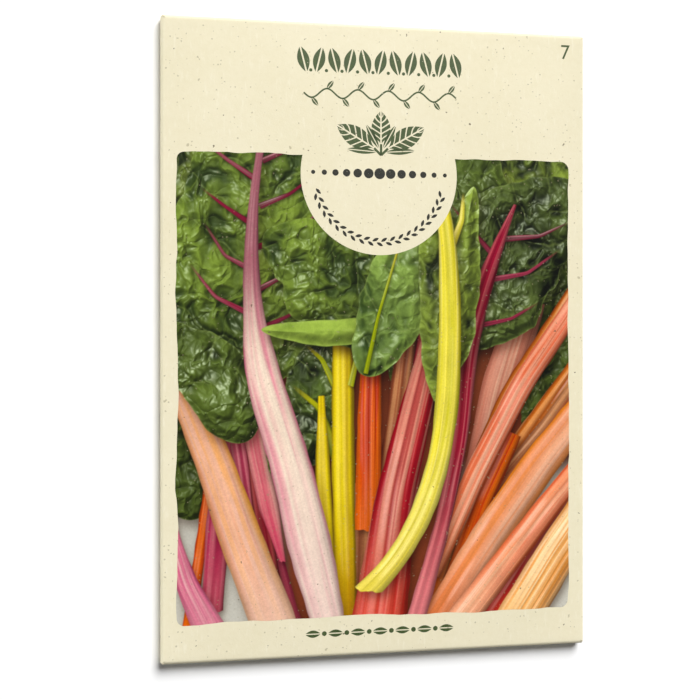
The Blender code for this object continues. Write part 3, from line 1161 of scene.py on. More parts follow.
class ChardPicture:
    """The whole picture: leaves above, coloured stalks fanning out below, on a pale table."""

    LOW = (-43.0, -58.5)
    HIGH = (42.5, 39.5)

    def backdrop(self, canvas: Canvas) -> None:
        """Fills the canvas: deep shade in the middle and the pale table in both lower corners."""
        grain = Grain(5)
        behind, below = np.array(linear(40, 30, 18)), np.array(linear(128, 58, 30))
        canvas.colour[:] = blend(behind, below, ramp(8.0, -14.0, canvas.y))
        shade = grain.layered(canvas.x * 0.12, canvas.y * 0.12, 3)
        canvas.colour *= (0.5 + shade)[..., None]
        table = np.array(linear(206, 203, 190)) * (0.94 + 0.1 * shade)[..., None]
        corner = ramp(-24.0, -30.0, canvas.y) * ramp(16.0, 26.0, np.abs(canvas.x + 2))
        canvas.lay((slice(None), slice(None)), corner, table)

    def far_leaves(self) -> list[Stalk | Blade]:
        """The leaves at the very back, in the shade of the others."""
        shade = dict(dark=NIGHT, fresh=MOSS, bright=0.7, gloss=0.35)
        return [
            Blade((-12, 14), (-6, 46), 26, 2, seed=11, **shade),
            Blade((8, 8), (12, 44), 24, -2, seed=12, **shade),
            Blade((26, 14), (20, 46), 26, 2, seed=13, **shade),
            Blade((40, -4), (30, 30), 22, 2, seed=14, **shade),
            Blade((-38, -36), (-44, -14), 12, 2, seed=17, **shade),
            Blade((34, -24), (46, 4), 15, 1, seed=18, **shade),
            Blade((6, -16), (9, 20), 13, -1, seed=19, **shade),
        ]

    def far_stalks(self) -> list[Stalk | Blade]:
        """The stalks that lie behind the others."""
        return [
            Stalk(((-33, -10), (-36, -34), (-40, -60)), (2.4, 2.4, 2.4), Dye.EMBER, grooves=1, seed=21),
            Stalk(((-31, -12), (-33.5, -36), (-35, -54.5)), (4.5, 5, 4.5), Dye.PLUM, cut=0.5, seed=22),
            Stalk(((-30, -10), (-26, -36), (-19, -60)), (5.5, 6, 6), Dye.PLUM, grooves=3, seed=23),
            Stalk(((-27.5, -12), (-25, -34), (-21, -60)), (3, 3.5, 3), Dye.WINE, seed=24),
            Stalk(((6.5, 8), (4, -12), (0.5, -36)), (4.2, 4.6, 4.4), Dye.ROSEWOOD, seed=25),
            Stalk(((10, 6), (6.5, -16), (2.5, -40)), (2.6, 3, 3), Dye.WINE, grooves=1, seed=26),
            Stalk(((-4, -30), (-4.5, -60)), (5, 5), Dye.ROSEWOOD, grooves=1, seed=27),
            Stalk(((32, 8), (26, -10), (18, -42)), (8, 8.5, 6), Dye.DUSTY, seed=28),
            Stalk(((47, -1), (32, -20), (20, -36), (9, -58)), (4, 4.6, 4.8, 4), Dye.COPPER, seed=29),
            Stalk(((46, -6), (36, -19), (25, -31), (22, -35)), (3, 3.6, 3.8, 3), Dye.ROSEWOOD, seed=30),
            Stalk(((46, -30), (36, -42), (24, -60)), (5, 5.6, 7), Dye.CRIMSON, seed=31),
            Stalk(((28, -20), (21, -34), (14, -54)), (5, 6, 5), Dye.EMBER, seed=32),
        ]

    def veins_of(
        self, foot: Point, head: Point, count: int, length: float, skin: Dye, seed: int
    ) -> list[Stalk]:
        """Side veins, leaving a midrib to both sides in turn and bending towards its head.

        Args:
            foot: The midrib's lower end.
            head: Its upper end.
            count: How many veins.
            length: Each one's length in mm, before its own small change.
            skin: Their colours.
            seed: The seed of their small changes.

        Returns:
            The veins.
        """
        rng = np.random.default_rng(seed)
        midrib = Chord(foot, head)
        ahead, beside = midrib.ahead, midrib.beside
        made = []
        for number in range(count):
            side = 1 if number % 2 else -1
            root = midrib.start + midrib.span * (number + 0.6 + 0.3 * rng.random()) / (count + 0.6)
            root = root + 0.7 * side * beside
            reach = length * (0.75 + 0.4 * rng.random())
            mid = root + reach * (0.45 * side * beside + (0.18 + 0.1 * rng.random()) * ahead)
            end = root + reach * (0.85 * side * beside + (0.5 + 0.25 * rng.random()) * ahead)
            path = (tuple(root), tuple(mid), tuple(end))
            made.append(
                Stalk(
                    path, (1.3, 0.7, 0.4), skin, grooves=0.5, lift=0.5, shadow=0.55, fade=True,
                    seed=seed + number,
                )
            )
        return made

    def left_side(self) -> list[Stalk | Blade]:
        """The left side: the great leaf and its veins, and the blush, peach and striped stalks."""
        made = [
            Blade((-46, 28), (-24, 41), 18, 2, dark=DEEP, fresh=SUNNY, seed=39),
            Blade((0, 8), (-8, 44), 26, 3, dark=DEEP, seed=37),
            Blade((-29, -9), (-24, 52), 36, 0, veins=9, belly=0.62, pucker=5.5, seed=40),
        ]
        made += self.veins_of((-27.5, -2), (-24.8, 40), 9, 15, Dye.VEIN, 50)
        made += [
            Stalk(
                ((-28, -6), (-26, -22), (-23.4, -34), (-20.6, -45)), (3.4, 4.2, 4.0, 1.2), Dye.BLUSH,
                grooves=1, seed=63,
            ),
            Stalk(
                ((-41, -8), (-34.4, -25), (-29.2, -40), (-21.4, -60)), (6.6, 7.6, 8.6, 9.2), Dye.PEACH,
                seed=66, lift=1.8,
            ),
            Stalk(
                ((-45, -24), (-42.6, -40), (-40, -49), (-34.5, -60)), (1.2, 2.8, 4.2, 7.0), Dye.CANDY,
                grooves=4, seed=65,
            ),
            Blade((-27, -20), (-46, 3), 15, -2, dark=DEEP, fresh=MOSS, gloss=0.7, seed=38),
        ]
        return made

    def middle(self) -> list[Stalk | Blade]:
        """The middle: a shaded leaf, the gold, ember and ivory stalks, and the leaves over them."""
        made = [
            Blade((-22, -28), (-10, 6), 14, -2, dark=NIGHT, fresh=linear(74, 92, 32), gloss=0.6, seed=33),
            Stalk(
                ((-9.5, -24), (-13, -14), (-19, -9)), (2.4, 1.4, 0.6), Dye.LIME, grooves=0.5, lift=0.6,
                fade=True, seed=34,
            ),
            Stalk(
                ((-9.5, -10), (-12.5, -4), (-16, -1)), (1.6, 1.0, 0.5), Dye.LIME, grooves=0.5, lift=0.6,
                fade=True, seed=35,
            ),
            Stalk(((-12.6, -12), (-12.2, -30), (-10, -58)), (1.4, 3.4, 2.6), Dye.GOLD, grooves=1, seed=67),
            Stalk(((-8.2, 6), (-8, -28), (-7.2, -60)), (4.2, 4.8, 4.4), Dye.GOLD, seed=68),
            Stalk(
                ((-6.4, -9), (-5, -3), (-2.5, 1)), (1.5, 1.0, 0.6), Dye.LIME, grooves=0.5, lift=0.5,
                seed=36,
            ),
            Stalk(
                ((-2.0, 1), (-2.5, -16), (-2.8, -39)), (3.8, 5.0, 5.6), Dye.EMBER, grooves=4,
                groove_depth=0.05, cut=0.6, seed=71,
            ),
            Blade((-1, 0), (-24, 22), 22, -3, seed=60),
            Stalk(
                ((-24.3, 44), (-26.5, 30), (-27.2, 16), (-26.6, 4),
                 (-24.6, -8), (-19, -25), (-15, -42), (-10.5, -60)),
                (1.2, 1.9, 2.8, 4.4, 7.6, 8.2, 9.2, 6.5), Dye.IVORY, grooves=3, groove_depth=0.05, seed=64,
                lift=1.8,
            ),
            Blade(
                (4, 2.6), (-25, 2.0), 5.4, 0.8, dark=linear(94, 118, 34), fresh=linear(142, 166, 62),
                relief=0.12, pucker=7, gloss=0.12, seed=61,
            ),
            Blade(
                (-3.4, -7.5), (7, 28), 14, -1.5, dark=linear(48, 68, 22), fresh=linear(118, 144, 60),
                relief=0.6, pucker=7, seed=69,
            ),
            Stalk(
                ((-3.2, -6.5), (-0.6, 5), (4.6, 22)), (1.1, 0.7, 0.4), Dye.LIME, grooves=0.5, lift=0.4,
                shadow=0.4, seed=70,
            ),
        ]
        return made

    def right_side(self) -> list[Stalk | Blade]:
        """The right side: the dark leaf, the crimson, magenta and lemon stalks, and the fan of coral ones."""
        made = [
            Blade((20, 28), (46, 35), 16, 3, dark=DEEP, fresh=SUNNY, relief=0.8, seed=35),
            Blade((14, 18), (21, 46), 16, -2, dark=NIGHT, fresh=MOSS, seed=36),
            Stalk(
                ((12, 4), (7, -16), (3.2, -32), (-0.5, -60)), (4, 7, 8.5, 12), Dye.CRIMSON, grooves=4,
                seed=72, lift=1.6,
            ),
            Blade(
                (19, -1), (42, 34), 25, 3, dark=NIGHT, fresh=linear(80, 96, 38), gloss=0.6, bright=0.85,
                seed=73,
            ),
        ]
        made += self.veins_of((19.5, -1), (28, 26), 5, 14, Dye.VEIN, 74)
        made += [
            Stalk(((47, 16), (28, -11), (16.5, -36), (8, -60)), (3.4, 4, 4, 4), Dye.COPPER, seed=80),
            Stalk(
                ((47, 13), (31, -9), (20.5, -28), (11, -49)), (4.4, 5.0, 5.2, 3.4), Dye.CORAL, seed=81,
                lift=1.5,
            ),
            Stalk(
                ((48, -11), (35, -26), (23, -42), (10, -61)), (7, 8, 8, 6), Dye.SALMON, seed=82, lift=1.5,
            ),
            Stalk(
                ((48, -23), (37, -35), (27, -47), (15.5, -61)), (4.8, 5.6, 6.0, 6.4), Dye.SHELL, seed=83,
                lift=1.4,
            ),
            Stalk(
                ((49, -32), (38.5, -46), (28, -62)), (9, 9.4, 9.8), Dye.APRICOT, grooves=5,
                groove_depth=0.05, seed=84, lift=1.4,
            ),
            Stalk(((29, 28), (25.4, 20), (21, 8), (18.4, -4), (17, -20), (13.4, -38), (6.5, -62)),
                  (0.7, 2.6, 4.4, 4.4, 3.8, 3.4, 4.2), Dye.MAGENTA, seed=85),
            Blade(
                (13, -14), (9.5, 28), 9, -1, dark=DEEP, fresh=SUNNY, relief=0.6, pucker=4, gloss=0.4,
                seed=86,
            ),
            Blade(
                (16.5, -6), (20, 32), 8, 1, dark=DEEP, fresh=SUNNY, relief=0.6, pucker=4, gloss=0.5,
                seed=87,
            ),
            Stalk(
                ((15.4, 20), (17.4, 25), (17.8, 31)), (1.6, 1.2, 0.5), Dye.LEMON, grooves=0.5, lift=0.5,
                fade=True, seed=89,
            ),
            Stalk(
                ((12.0, 36), (14.4, 20), (14.9, 4), (14.4, -12),
                 (12.6, -25), (8.6, -37), (2.4, -47), (-2.6, -51.5)),
                (2.0, 3.8, 4.8, 5.0, 4.8, 5.0, 4.2, 5.0), Dye.LEMON, cut=0.8, seed=88, lift=1.9,
            ),
        ]
        return made

    def paint(self, pitch: float) -> Canvas:
        """Paints the picture.

        Args:
            pitch: The distance between samples, in mm.

        Returns:
            The finished canvas.
        """
        canvas = Canvas(self.LOW, self.HIGH, pitch)
        self.backdrop(canvas)
        layers = (self.far_leaves, self.far_stalks, self.left_side, self.middle, self.right_side)
        for layer in layers:
            for piece in layer():
                piece.paint(canvas)
        return canvas


# ---------------------------------------------------------------------------------------------
# What is printed on the paper.
# ---------------------------------------------------------------------------------------------


NOTCH_MIDDLE: Point = (-0.3, 34.0)


@dataclass
class PicturePrint:
    """The picture on the front, as thin sheets of ink with a brushed edge and a round notch."""

    packet: PaperPacket
    side_margins: tuple[float, float] = (3.1, 3.6)
    end_margins: tuple[float, float] = (8.0, 27.2)
    corner: float = 1.6
    wobble: float = 1.35  # how far the sides wander
    notch_middle: Point = NOTCH_MIDDLE
    notch_radius: float = 16.6
    pitch: float = 0.13
    rough_pitch: float = 0.3
    tiles: tuple[int, int] = (2, 3)
    brim: float = 1.42  # how far outside the outline points are still used, in steps of the grid
    over: float = 0.012 * MM

    def outline(self, x: np.ndarray, y: np.ndarray) -> np.ndarray:
        """How far a place is outside the picture: below 0 inside it.

        The picture is a rectangle with round corners, whose four sides wander with slow noise, less
        the round notch at its top.

        Args:
            x: Places across, in mm.
            y: Places upwards, in mm.

        Returns:
            Distances in mm.
        """
        grain = Grain(3)

        def side(along: np.ndarray, row: float) -> np.ndarray:
            """The wander of one side."""
            slow = grain.layered(along * 0.09 + 7 * row, along * 0.0 + row, 4) - 0.5
            return self.wobble * slow

        half_x, half_y = self.packet.high.x / MM, self.packet.high.y / MM
        left = -half_x + self.side_margins[0] + side(y, 1.5)
        right = half_x - self.side_margins[1] + side(y, 2.5)
        low = -half_y + self.end_margins[0] + side(x, 3.5)
        high = half_y - self.end_margins[1] + side(x, 4.5)
        out_x = np.maximum(left - x, x - right) + self.corner
        out_y = np.maximum(low - y, y - high) + self.corner
        beyond = np.hypot(np.maximum(out_x, 0.0), np.maximum(out_y, 0.0))
        panel = beyond + np.minimum(np.maximum(out_x, out_y), 0.0) - self.corner
        notch = self.notch_radius - np.hypot(x - self.notch_middle[0], y - self.notch_middle[1])
        return np.maximum(panel, notch)

    def build(self) -> list[bpy.types.Object]:
        """Paints the picture and cuts it into sheets, each with its colours as an attribute.

        The points form an even grid. Those just outside the outline move onto it, along the slope of
        the distance, and cells with nothing inside it are left out, so that the edge is a clean line.

        Returns:
            The sheets.
        """
        pitch = self.pitch
        picture = ChardPicture()
        canvas = picture.paint(pitch / 2)
        colour = canvas.blend_down()
        x, y = canvas.x[::2, ::2].astype(float), canvas.y[::2, ::2].astype(float)
        away = self.outline(x, y)
        rise_y, rise_x = np.gradient(away, pitch)
        steep = np.maximum(np.hypot(rise_x, rise_y), 0.3)
        reach = self.brim * pitch
        brim = np.where((away > 0) & (away < reach), away, 0.0)
        x = x - brim * rise_x / steep**2
        y = y - brim * rise_y / steep**2
        points = self.packet.front(x * MM, y * MM, self.over)
        made = []
        row_cuts = np.linspace(0, x.shape[0] - 1, self.tiles[1] + 1).astype(int)
        column_cuts = np.linspace(0, x.shape[1] - 1, self.tiles[0] + 1).astype(int)
        for upper, (first_row, last_row) in enumerate(zip(row_cuts, row_cuts[1:])):
            for beside, (first, last) in enumerate(zip(column_cuts, column_cuts[1:])):
                part = (slice(first_row, last_row + 1), slice(first, last + 1))
                name = f"front_picture_{upper + 1}{'lr'[beside]}"
                made.append(self.sheet(name, points[part], colour[part], away[part], reach))
        return made

    def sheet(
        self, name: str, points: np.ndarray, colour: np.ndarray, away: np.ndarray, brim: float
    ) -> bpy.types.Object:
        """One sheet of the picture.

        Args:
            name: The sheet's name.
            points: The points of its part of the grid.
            colour: Their colours.
            away: Their distance outside the outline, before the move.
            brim: How far outside a point may be and still be used.

        Returns:
            The sheet.
        """
        quads = grid_quads(*away.shape)
        corners = away.reshape(-1)[quads]
        quads = quads[(corners.max(axis=1) < brim) & (corners.min(axis=1) < 0.0)]
        used, renumbered = np.unique(quads, return_inverse=True)
        flat = points.reshape(-1, 3)[used]
        quads = renumbered.reshape(-1, 4)
        piece = mesh_piece(name, flat, quads)
        inks = piece.data.color_attributes.new(PictureFinish().layer, "FLOAT_COLOR", "POINT")
        tones = np.ones((len(used), 4), dtype=np.float32)
        tones[:, :3] = colour.reshape(-1, 3)[used]
        inks.data.foreach_set("color", tones.ravel())
        self.lay_map(piece, flat, quads)
        return piece

    def lay_map(self, piece: bpy.types.Object, points: np.ndarray, quads: np.ndarray) -> None:
        """Gives a flat sheet a map that keeps its own proportions, just inside the unit square."""
        low = points[:, :2].min(axis=0)
        size = float((points[:, :2].max(axis=0) - low).max())
        flat = 0.01 + 0.98 * (points[:, :2] - low) / size
        layer = piece.data.uv_layers.new(name="OFBake")
        layer.data.foreach_set("uv", flat[quads.ravel()].astype(np.float32).ravel())


def heading(lean_deg: float) -> np.ndarray:
    """The direction that leans so many degrees from +Y towards +X."""
    lean = math.radians(lean_deg)
    return np.array([math.sin(lean), math.cos(lean)])


class Stencil:
    """Collects flat ink shapes, each as a grid of points in mm, for one printed piece."""

    def __init__(self) -> None:
        """Starts with no shapes."""
        self.points: list[np.ndarray] = []
        self.quads: list[np.ndarray] = []
        self.count = 0

    def add(self, grid: np.ndarray) -> None:
        """Adds one shape: rows and columns of points, facing up."""
        rows, columns = grid.shape[:2]
        flat = grid.reshape(-1, 2)
        quads = grid_quads(rows, columns) + self.count
        across = grid[0, -1] - grid[0, 0] + grid[-1, -1] - grid[-1, 0] + 1e-9
        upward = grid[-1].mean(axis=0) - grid[0].mean(axis=0)
        turned = across[0] * upward[1] - across[1] * upward[0] < 0
        self.points.append(flat)
        self.quads.append(quads[:, ::-1] if turned else quads)
        self.count += len(flat)

    def ribbon(self, line: np.ndarray, width: np.ndarray | float) -> None:
        """Adds a stroke: a line of points with its width, widened to both sides of its direction."""
        ahead = np.gradient(line, axis=0)
        ahead = ahead / np.maximum(np.hypot(ahead[:, 0], ahead[:, 1]), 1e-9)[:, None]
        side = np.stack([-ahead[:, 1], ahead[:, 0]], axis=-1)
        half = np.broadcast_to(np.asarray(width, dtype=float) / 2, (len(line),))
        across = np.linspace(1.0, -1.0, 3)
        self.add(line[:, None] + across[None, :, None] * (half[:, None] * side)[:, None])

    def leaf(
        self, foot: Point, length: float, width: float, lean_deg: float, slit: float = 0.0, veins: int = 0
    ) -> None:
        """Adds a leaf: its half width is the sine of the way along, to the power 0.8.

        Each half is a grid between a slit down the middle and the edge, cut by veins that slant up.

        Args:
            foot: Where the leaf starts.
            length: Its length.
            width: Its width.
            lean_deg: How far it leans to the right.
            slit: The width of the slit.
            veins: How many veins cut each half.
        """
        ahead = heading(lean_deg)
        side = np.array([ahead[1], -ahead[0]])
        cuts = np.linspace(0.02, 0.98, veins + 2)
        gap = 0.0 if veins == 0 else 0.5 * slit / length
        for sign in (-1, 1):
            for start, end in zip(cuts, cuts[1:]):
                way = np.linspace(start + gap, end - gap, 7 if veins else 15)[:, None]
                out = np.linspace(0.0, 1.0, 4)[None, :]
                slant = np.clip(way + (0.16 * out if veins else 0.0), 0.0, 1.0)
                reach = 0.5 * width * np.sin(np.pi * slant) ** 0.8
                off = slit / 2 + np.maximum(reach - slit / 2, 0.0) * out
                grid = np.array(foot) + (slant * length)[..., None] * ahead + sign * off[..., None] * side
                self.add(grid)

    def dot(self, middle: Point, radius: float) -> None:
        """Adds a round dot, as rings from its middle to its edge."""
        turn = np.linspace(0.0, 2 * np.pi, 25)
        rings = np.linspace(0.02, 1.0, 3)[:, None, None] * radius
        self.add(np.array(middle) + rings * np.stack([-np.cos(turn), np.sin(turn)], axis=-1)[None])

    def piece(self, name: str, packet: PaperPacket, over: float) -> bpy.types.Object:
        """Lays the shapes on the packet's front."""
        flat = np.concatenate(self.points) * MM
        return mesh_piece(name, packet.front(flat[:, 0], flat[:, 1], over), np.concatenate(self.quads))


@dataclass
class FrontOrnaments:
    """The plain ornaments on the front: garlands, a sprig, rows of dots and a number."""

    packet: PaperPacket
    over: float = 0.012 * MM
    title_y: float = 54.6
    title_half: float = 17.4
    vine_y: float = 50.4
    vine_half: float = 16.2
    sprig_foot: Point = (0.0, 38.6)
    beads_y: float = 34.2
    arc_middle: Point = NOTCH_MIDDLE
    arc_radius: float = 13.9
    caption_y: float = -60.2
    caption_half: float = 14.2
    number_place: Point = (40.7, 59.8)

    def title_garland(self) -> Stencil:
        """A bold row of upright leaves, leaning in turn to each side, with dots between them."""
        stencil = Stencil()
        count = 11
        for number, x in enumerate(np.linspace(-self.title_half + 1.2, self.title_half - 1.2, count)):
            lean = 14 if number % 2 else -14
            foot = (x - 2.6 * heading(lean)[0], self.title_y)
            stencil.leaf(foot, 5.4, 2.5, lean, slit=0.34)
        for x in np.linspace(-self.title_half + 2.7, self.title_half - 2.7, count - 1):
            stencil.dot((x, self.title_y + 0.45), 0.34)
        return stencil

    def vine(self) -> Stencil:
        """A thin waving vine, as a sine line, with a small leaf at each of its turns."""
        stencil = Stencil()
        waves = 5
        x = np.linspace(-self.vine_half, self.vine_half, 161)
        turn = (x / self.vine_half) * waves * np.pi
        line = np.stack([x, self.vine_y + 0.95 * np.sin(turn)], axis=-1)
        stencil.ribbon(line, 0.34)
        for number in range(2 * waves):
            middle = (number + 0.5 - waves) / waves * self.vine_half
            up = 1 if number % 2 == (waves % 2) else -1
            foot = (middle, self.vine_y + 0.9 * up)
            stencil.leaf(foot, 2.2, 0.95, 38 if up > 0 else 142, slit=0.14)
        return stencil

    def sprig(self) -> Stencil:
        """Three broad leaves on short stalks, their veins left open, and four slim ones behind them."""
        stencil = Stencil()
        base = np.array(self.sprig_foot)
        root = base - np.array([0.0, 0.6])
        for lean, length, width in ((-60, 9.2, 4.2), (0, 7.0, 4.0), (60, 9.2, 4.2)):
            ahead = heading(lean)
            foot = base + ahead * 1.7
            stencil.leaf(tuple(foot - 0.2 * ahead), length, width, lean, slit=0.32, veins=5)
            way = np.linspace(0.0, 1.0, 9)[:, None]
            stencil.ribbon(root + (foot - root) * way, 0.5)
        for lean, length in ((-86, 6.4), (86, 6.4), (-29, 5.6), (29, 5.6)):
            ahead = heading(lean)
            stencil.leaf(tuple(base + ahead * 0.9), length, 1.3, lean, slit=0.2)
        return stencil

    def beads(self) -> Stencil:
        """A row of round dots, largest in the middle."""
        stencil = Stencil()
        for share in np.linspace(-1.0, 1.0, 13):
            stencil.dot((self.arc_middle[0] + 14.0 * share, self.beads_y), 0.42 + 0.72 * (1 - abs(share)))
        return stencil

    def laurel(self) -> Stencil:
        """Small leaves along the notch's lower arc, leaning in turn outwards and inwards."""
        stencil = Stencil()
        for number, turn in enumerate(np.linspace(-164.0, -16.0, 39)):
            out = 0.45 if number % 2 else -0.45
            place = np.array(self.arc_middle) + (self.arc_radius + out) * heading(90.0 - turn)
            lean = -turn + (28 if number % 2 else -28)
            ahead = heading(lean)
            stencil.leaf(tuple(place - 0.75 * ahead), 1.5, 0.62, lean)
        return stencil

    def caption(self) -> Stencil:
        """A row of short leaves laid on their sides, with dots between them."""
        stencil = Stencil()
        places = np.linspace(-self.caption_half, self.caption_half, 13)
        for number, x in enumerate(places):
            if number % 2:
                stencil.dot((x, self.caption_y), 0.5)
            else:
                stencil.leaf((x - 1.6, self.caption_y), 3.2, 1.5, 90, slit=0.22)
        return stencil

    def number(self) -> bpy.types.Object:
        """The plain number in the upper right corner."""

        def lay(x: np.ndarray, y: np.ndarray) -> np.ndarray:
            """Lays the number on the front."""
            return self.packet.front(x, y, self.over)

        return printed_number("7", 4.4, self.number_place, lay, False)

    def build(self) -> None:
        """Builds and dresses all of them."""
        green, dark = LEAF_INK.material(), DARK_INK.material()
        parts = (
            ("title_garland", self.title_garland, green),
            ("title_vine", self.vine, green),
            ("leaf_sprig", self.sprig, green),
            ("bead_row", self.beads, dark),
            ("notch_laurel", self.laurel, dark),
            ("caption_row", self.caption, green),
        )
        for name, draw, ink in parts:
            show(draw().piece(name, self.packet, self.over), "speckled_paper", ink)
        show(self.number(), "speckled_paper", green)


def printed_number(text: str, size: float, place: Point, lay: Sheet, turned: bool) -> bpy.types.Object:
    """A plain number in print, as a mesh laid on the paper.

    Args:
        text: The digits.
        size: Their size in mm.
        place: The middle of the number's foot, in mm.
        lay: A function from places across and along the packet to points on it.
        turned: Whether it is read from the back.

    Returns:
        The number.
    """
    curve = bpy.data.curves.new(f"number_{text}", "FONT")
    curve.body = text
    curve.size = size * MM
    curve.align_x = "CENTER"
    curve.resolution_u = 6
    drawn = bpy.data.objects.new(f"number_{text}", curve)
    bpy.context.scene.collection.objects.link(drawn)
    mesh = bpy.data.meshes.new_from_object(drawn.evaluated_get(bpy.context.evaluated_depsgraph_get()))
    bpy.data.objects.remove(drawn)
    flat = np.empty(len(mesh.vertices) * 3, dtype=np.float32)
    mesh.vertices.foreach_get("co", flat)
    flat = flat.reshape(-1, 3).astype(float)
    x = (-1 if turned else 1) * flat[:, 0] + place[0] * MM
    points = lay(x, flat[:, 1] + place[1] * MM)
    mesh.vertices.foreach_set("co", points.astype(np.float32).ravel())
    if turned:
        mesh.flip_normals()
    mesh.update()
    side = "back" if turned else "front"
    piece = bpy.data.objects.new(f"{side}_number_{text}", mesh)
    bpy.context.scene.collection.objects.link(piece)
    return piece


@dataclass
class BackPrint:
    """The back's print: a sowing calendar of plain numbers, and ruled lines."""

    packet: PaperPacket
    middle_x: float = 18.0
    top_y: float = 34.0
    cell: float = 6.6
    row_gap: float = 2.0
    rules_below: float = 26.0  # from the calendar's top to the first ruled line
    rule_step: float = 5.2
    under: float = 0.012 * MM

    def lay(self, x: np.ndarray, y: np.ndarray) -> np.ndarray:
        """Points just outside the back panels."""
        depth = self.packet.back_z - self.packet.paper / 2 - self.under
        return np.stack([x, y, np.full_like(x, depth)], axis=-1)

    def frame_lines(self) -> Stencil:
        """The calendar's grid, its bars, and the ruled lines below it."""
        stencil = Stencil()
        half = 3 * self.cell
        row_step = self.cell + self.row_gap
        way = np.linspace(-1.0, 1.0, 25)
        for row in range(3):
            y = self.top_y - row * row_step
            stencil.ribbon(np.stack([self.middle_x + half * way, np.full(25, y)], axis=-1), 0.25)
        for column in range(7):
            x = self.middle_x - half + column * self.cell
            y = self.top_y - row_step * (1 + way)
            stencil.ribbon(np.stack([np.full(25, x), y], axis=-1), 0.25)
        for row, first, last in ((0, 3, 6), (1, 0, 1), (1, 2, 4)):
            x = self.middle_x - half + self.cell * (first + (last - first) * (way + 1) / 2)
            y = self.top_y - (row + 1) * row_step + 1.4
            stencil.ribbon(np.stack([x, np.full(25, y)], axis=-1), 0.9)
        for row in range(7):
            y = self.top_y - self.rules_below - self.rule_step * row
            reach = half * (2.0 if row < 6 else 0.62)
            x = self.middle_x + half - reach * (way + 1) / 2
            stencil.ribbon(np.stack([x, np.full(25, y)], axis=-1), 0.22)
        return stencil

    def build(self) -> None:
        """Builds and dresses the back's print."""
        ink = LEAF_INK.material()
        stencil = self.frame_lines()
        flat = np.concatenate(stencil.points) * MM
        quads = np.concatenate(stencil.quads)[:, ::-1]
        show(mesh_piece("back_calendar", self.lay(flat[:, 0], flat[:, 1]), quads), "speckled_paper", ink)
        for month in range(12):
            column = 5 - month % 6
            x = self.middle_x + (column - 2.5) * self.cell
            y = self.top_y - (month // 6) * (self.cell + self.row_gap) - 3.6
            number = printed_number(str(month + 1), 3.2, (x, y), self.lay, True)
            show(number, "speckled_paper", ink)


# ---------------------------------------------------------------------------------------------
# What the paper holds.
# ---------------------------------------------------------------------------------------------


class Inside:
    """The glue, the sachet's two films and the seeds, each in its own finish."""

    def dress_nodes(self) -> None:
        """Gives every inner part that keeps its shape its finish."""
        glue, film, husk = GlueFinish().material(), FilmFinish().material(), HuskFinish().material()
        for name, node in sorted(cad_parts.items()):
            if name.endswith("_glue"):
                dress(node, glue)
            elif name.endswith("_film"):
                dress(node, film)
            elif name.startswith("seed_"):
                dress(node, husk)
            else:
                continue
            LOG.info("%s dressed", name)


# ---------------------------------------------------------------------------------------------
# The studio.
# ---------------------------------------------------------------------------------------------


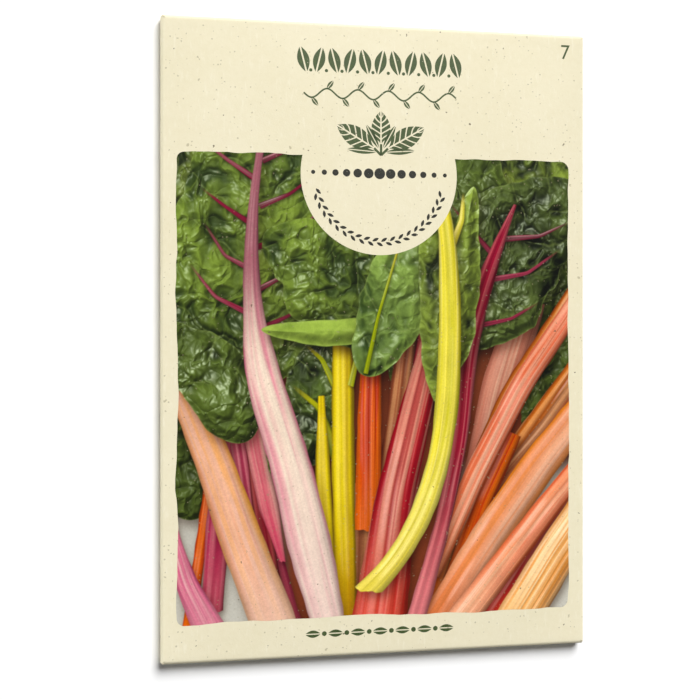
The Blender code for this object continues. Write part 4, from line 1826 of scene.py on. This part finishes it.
@dataclass
class Studio:
    """A white table, a broad soft lamp from the upper right, a weak fill from the left, a camera."""

    packet: PaperPacket
    yaw_deg: float = 14.2  # the camera stands this far round to the packet's left
    distance: float = 0.313
    lens: float = 77.85
    shift: tuple[float, float] = (-0.043, -0.0149)
    lamp_turn_deg: float = 20.0
    lamp_height_deg: float = 48.0
    lamp_distance: float = 4.0
    lamp_size: float = 2.6
    lamp_watts: float = 229.0
    fill_turn_deg: float = -90.0
    fill_height_deg: float = 6.0
    fill_size: float = 0.8
    fill_watts: float = 66.0
    sky: float = 0.06

    def table(self) -> None:
        """The white surface under the packet, just below its back."""
        reach = np.linspace(-2.0, 2.0, 9)
        x, y = np.meshgrid(reach, reach)
        points = np.stack([x, y, np.full_like(x, -0.02 * MM)], axis=-1).reshape(-1, 3)
        surface = mesh_piece("white_table", points, grid_quads(9, 9))
        dress(surface, TableFinish().material())

    def lamp(self, name: str, turn_deg: float, height_deg: float, size: float, watts: float) -> None:
        """A round soft lamp that faces the packet.

        Args:
            name: Its name.
            turn_deg: Where it stands, from +Y towards +X.
            height_deg: How high it stands.
            size: Its diameter.
            watts: Its power.
        """
        turn, height = math.radians(turn_deg), math.radians(height_deg)
        flat = math.cos(height)
        towards = Vector((math.sin(turn) * flat, math.cos(turn) * flat, math.sin(height)))
        light = bpy.data.lights.new(name, "AREA")
        light.shape = "DISK"
        light.size = size
        light.energy = watts
        stand = bpy.data.objects.new(name, light)
        stand.location = towards * self.lamp_distance
        stand.rotation_euler = towards.to_track_quat("Z", "Y").to_euler()
        bpy.context.scene.collection.objects.link(stand)

    def world(self) -> None:
        """An even white sky."""
        sky = bpy.data.worlds.new("studio_sky")
        sky.use_nodes = True
        background = sky.node_tree.nodes["Background"]
        background.inputs["Color"].default_value = (1.0, 1.0, 1.0, 1.0)
        background.inputs["Strength"].default_value = self.sky
        bpy.context.scene.world = sky

    def camera(self) -> None:
        """A camera over the packet, turned about its long axis towards its left."""
        yaw = math.radians(self.yaw_deg)
        back = Vector((-math.sin(yaw), 0.0, math.cos(yaw)))
        right = Vector((math.cos(yaw), 0.0, math.sin(yaw)))
        up = Vector((0.0, 1.0, 0.0))
        lens = bpy.data.cameras.new("packet_camera")
        lens.lens = self.lens
        lens.sensor_width = 36.0
        lens.shift_x, lens.shift_y = self.shift
        lens.clip_start, lens.clip_end = 0.01, 20.0
        stand = bpy.data.objects.new("packet_camera", lens)
        turn = Matrix((right, up, back)).transposed().to_4x4()
        middle = Vector((0.0, 0.0, self.packet.edge_top))
        stand.matrix_world = Matrix.Translation(middle + back * self.distance) @ turn
        bpy.context.scene.collection.objects.link(stand)
        bpy.context.scene.camera = stand

    def build(self) -> None:
        """Sets everything up."""
        self.table()
        self.world()
        self.lamp("key_lamp", self.lamp_turn_deg, self.lamp_height_deg, self.lamp_size, self.lamp_watts)
        self.lamp("fill_lamp", self.fill_turn_deg, self.fill_height_deg, self.fill_size, self.fill_watts)
        self.camera()
        bpy.context.scene.view_settings.view_transform = "Standard"


def main() -> None:
    """Builds and dresses the packet from the outside in, then the studio round it."""
    logging.basicConfig(level=logging.INFO, format="%(name)s: %(message)s")
    packet = PaperPacket(*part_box("paper_packet"))
    Studio(packet).build()
    show(packet.build(), "speckled_paper", PaperFinish().material(), "paper_packet")
    picture_ink = PictureFinish().material()
    for sheet in PicturePrint(packet).build():
        show(sheet, "speckled_paper", picture_ink)
    FrontOrnaments(packet).build()
    BackPrint(packet).build()
    Inside().dress_nodes()


if __name__ == "__main__":
    main()
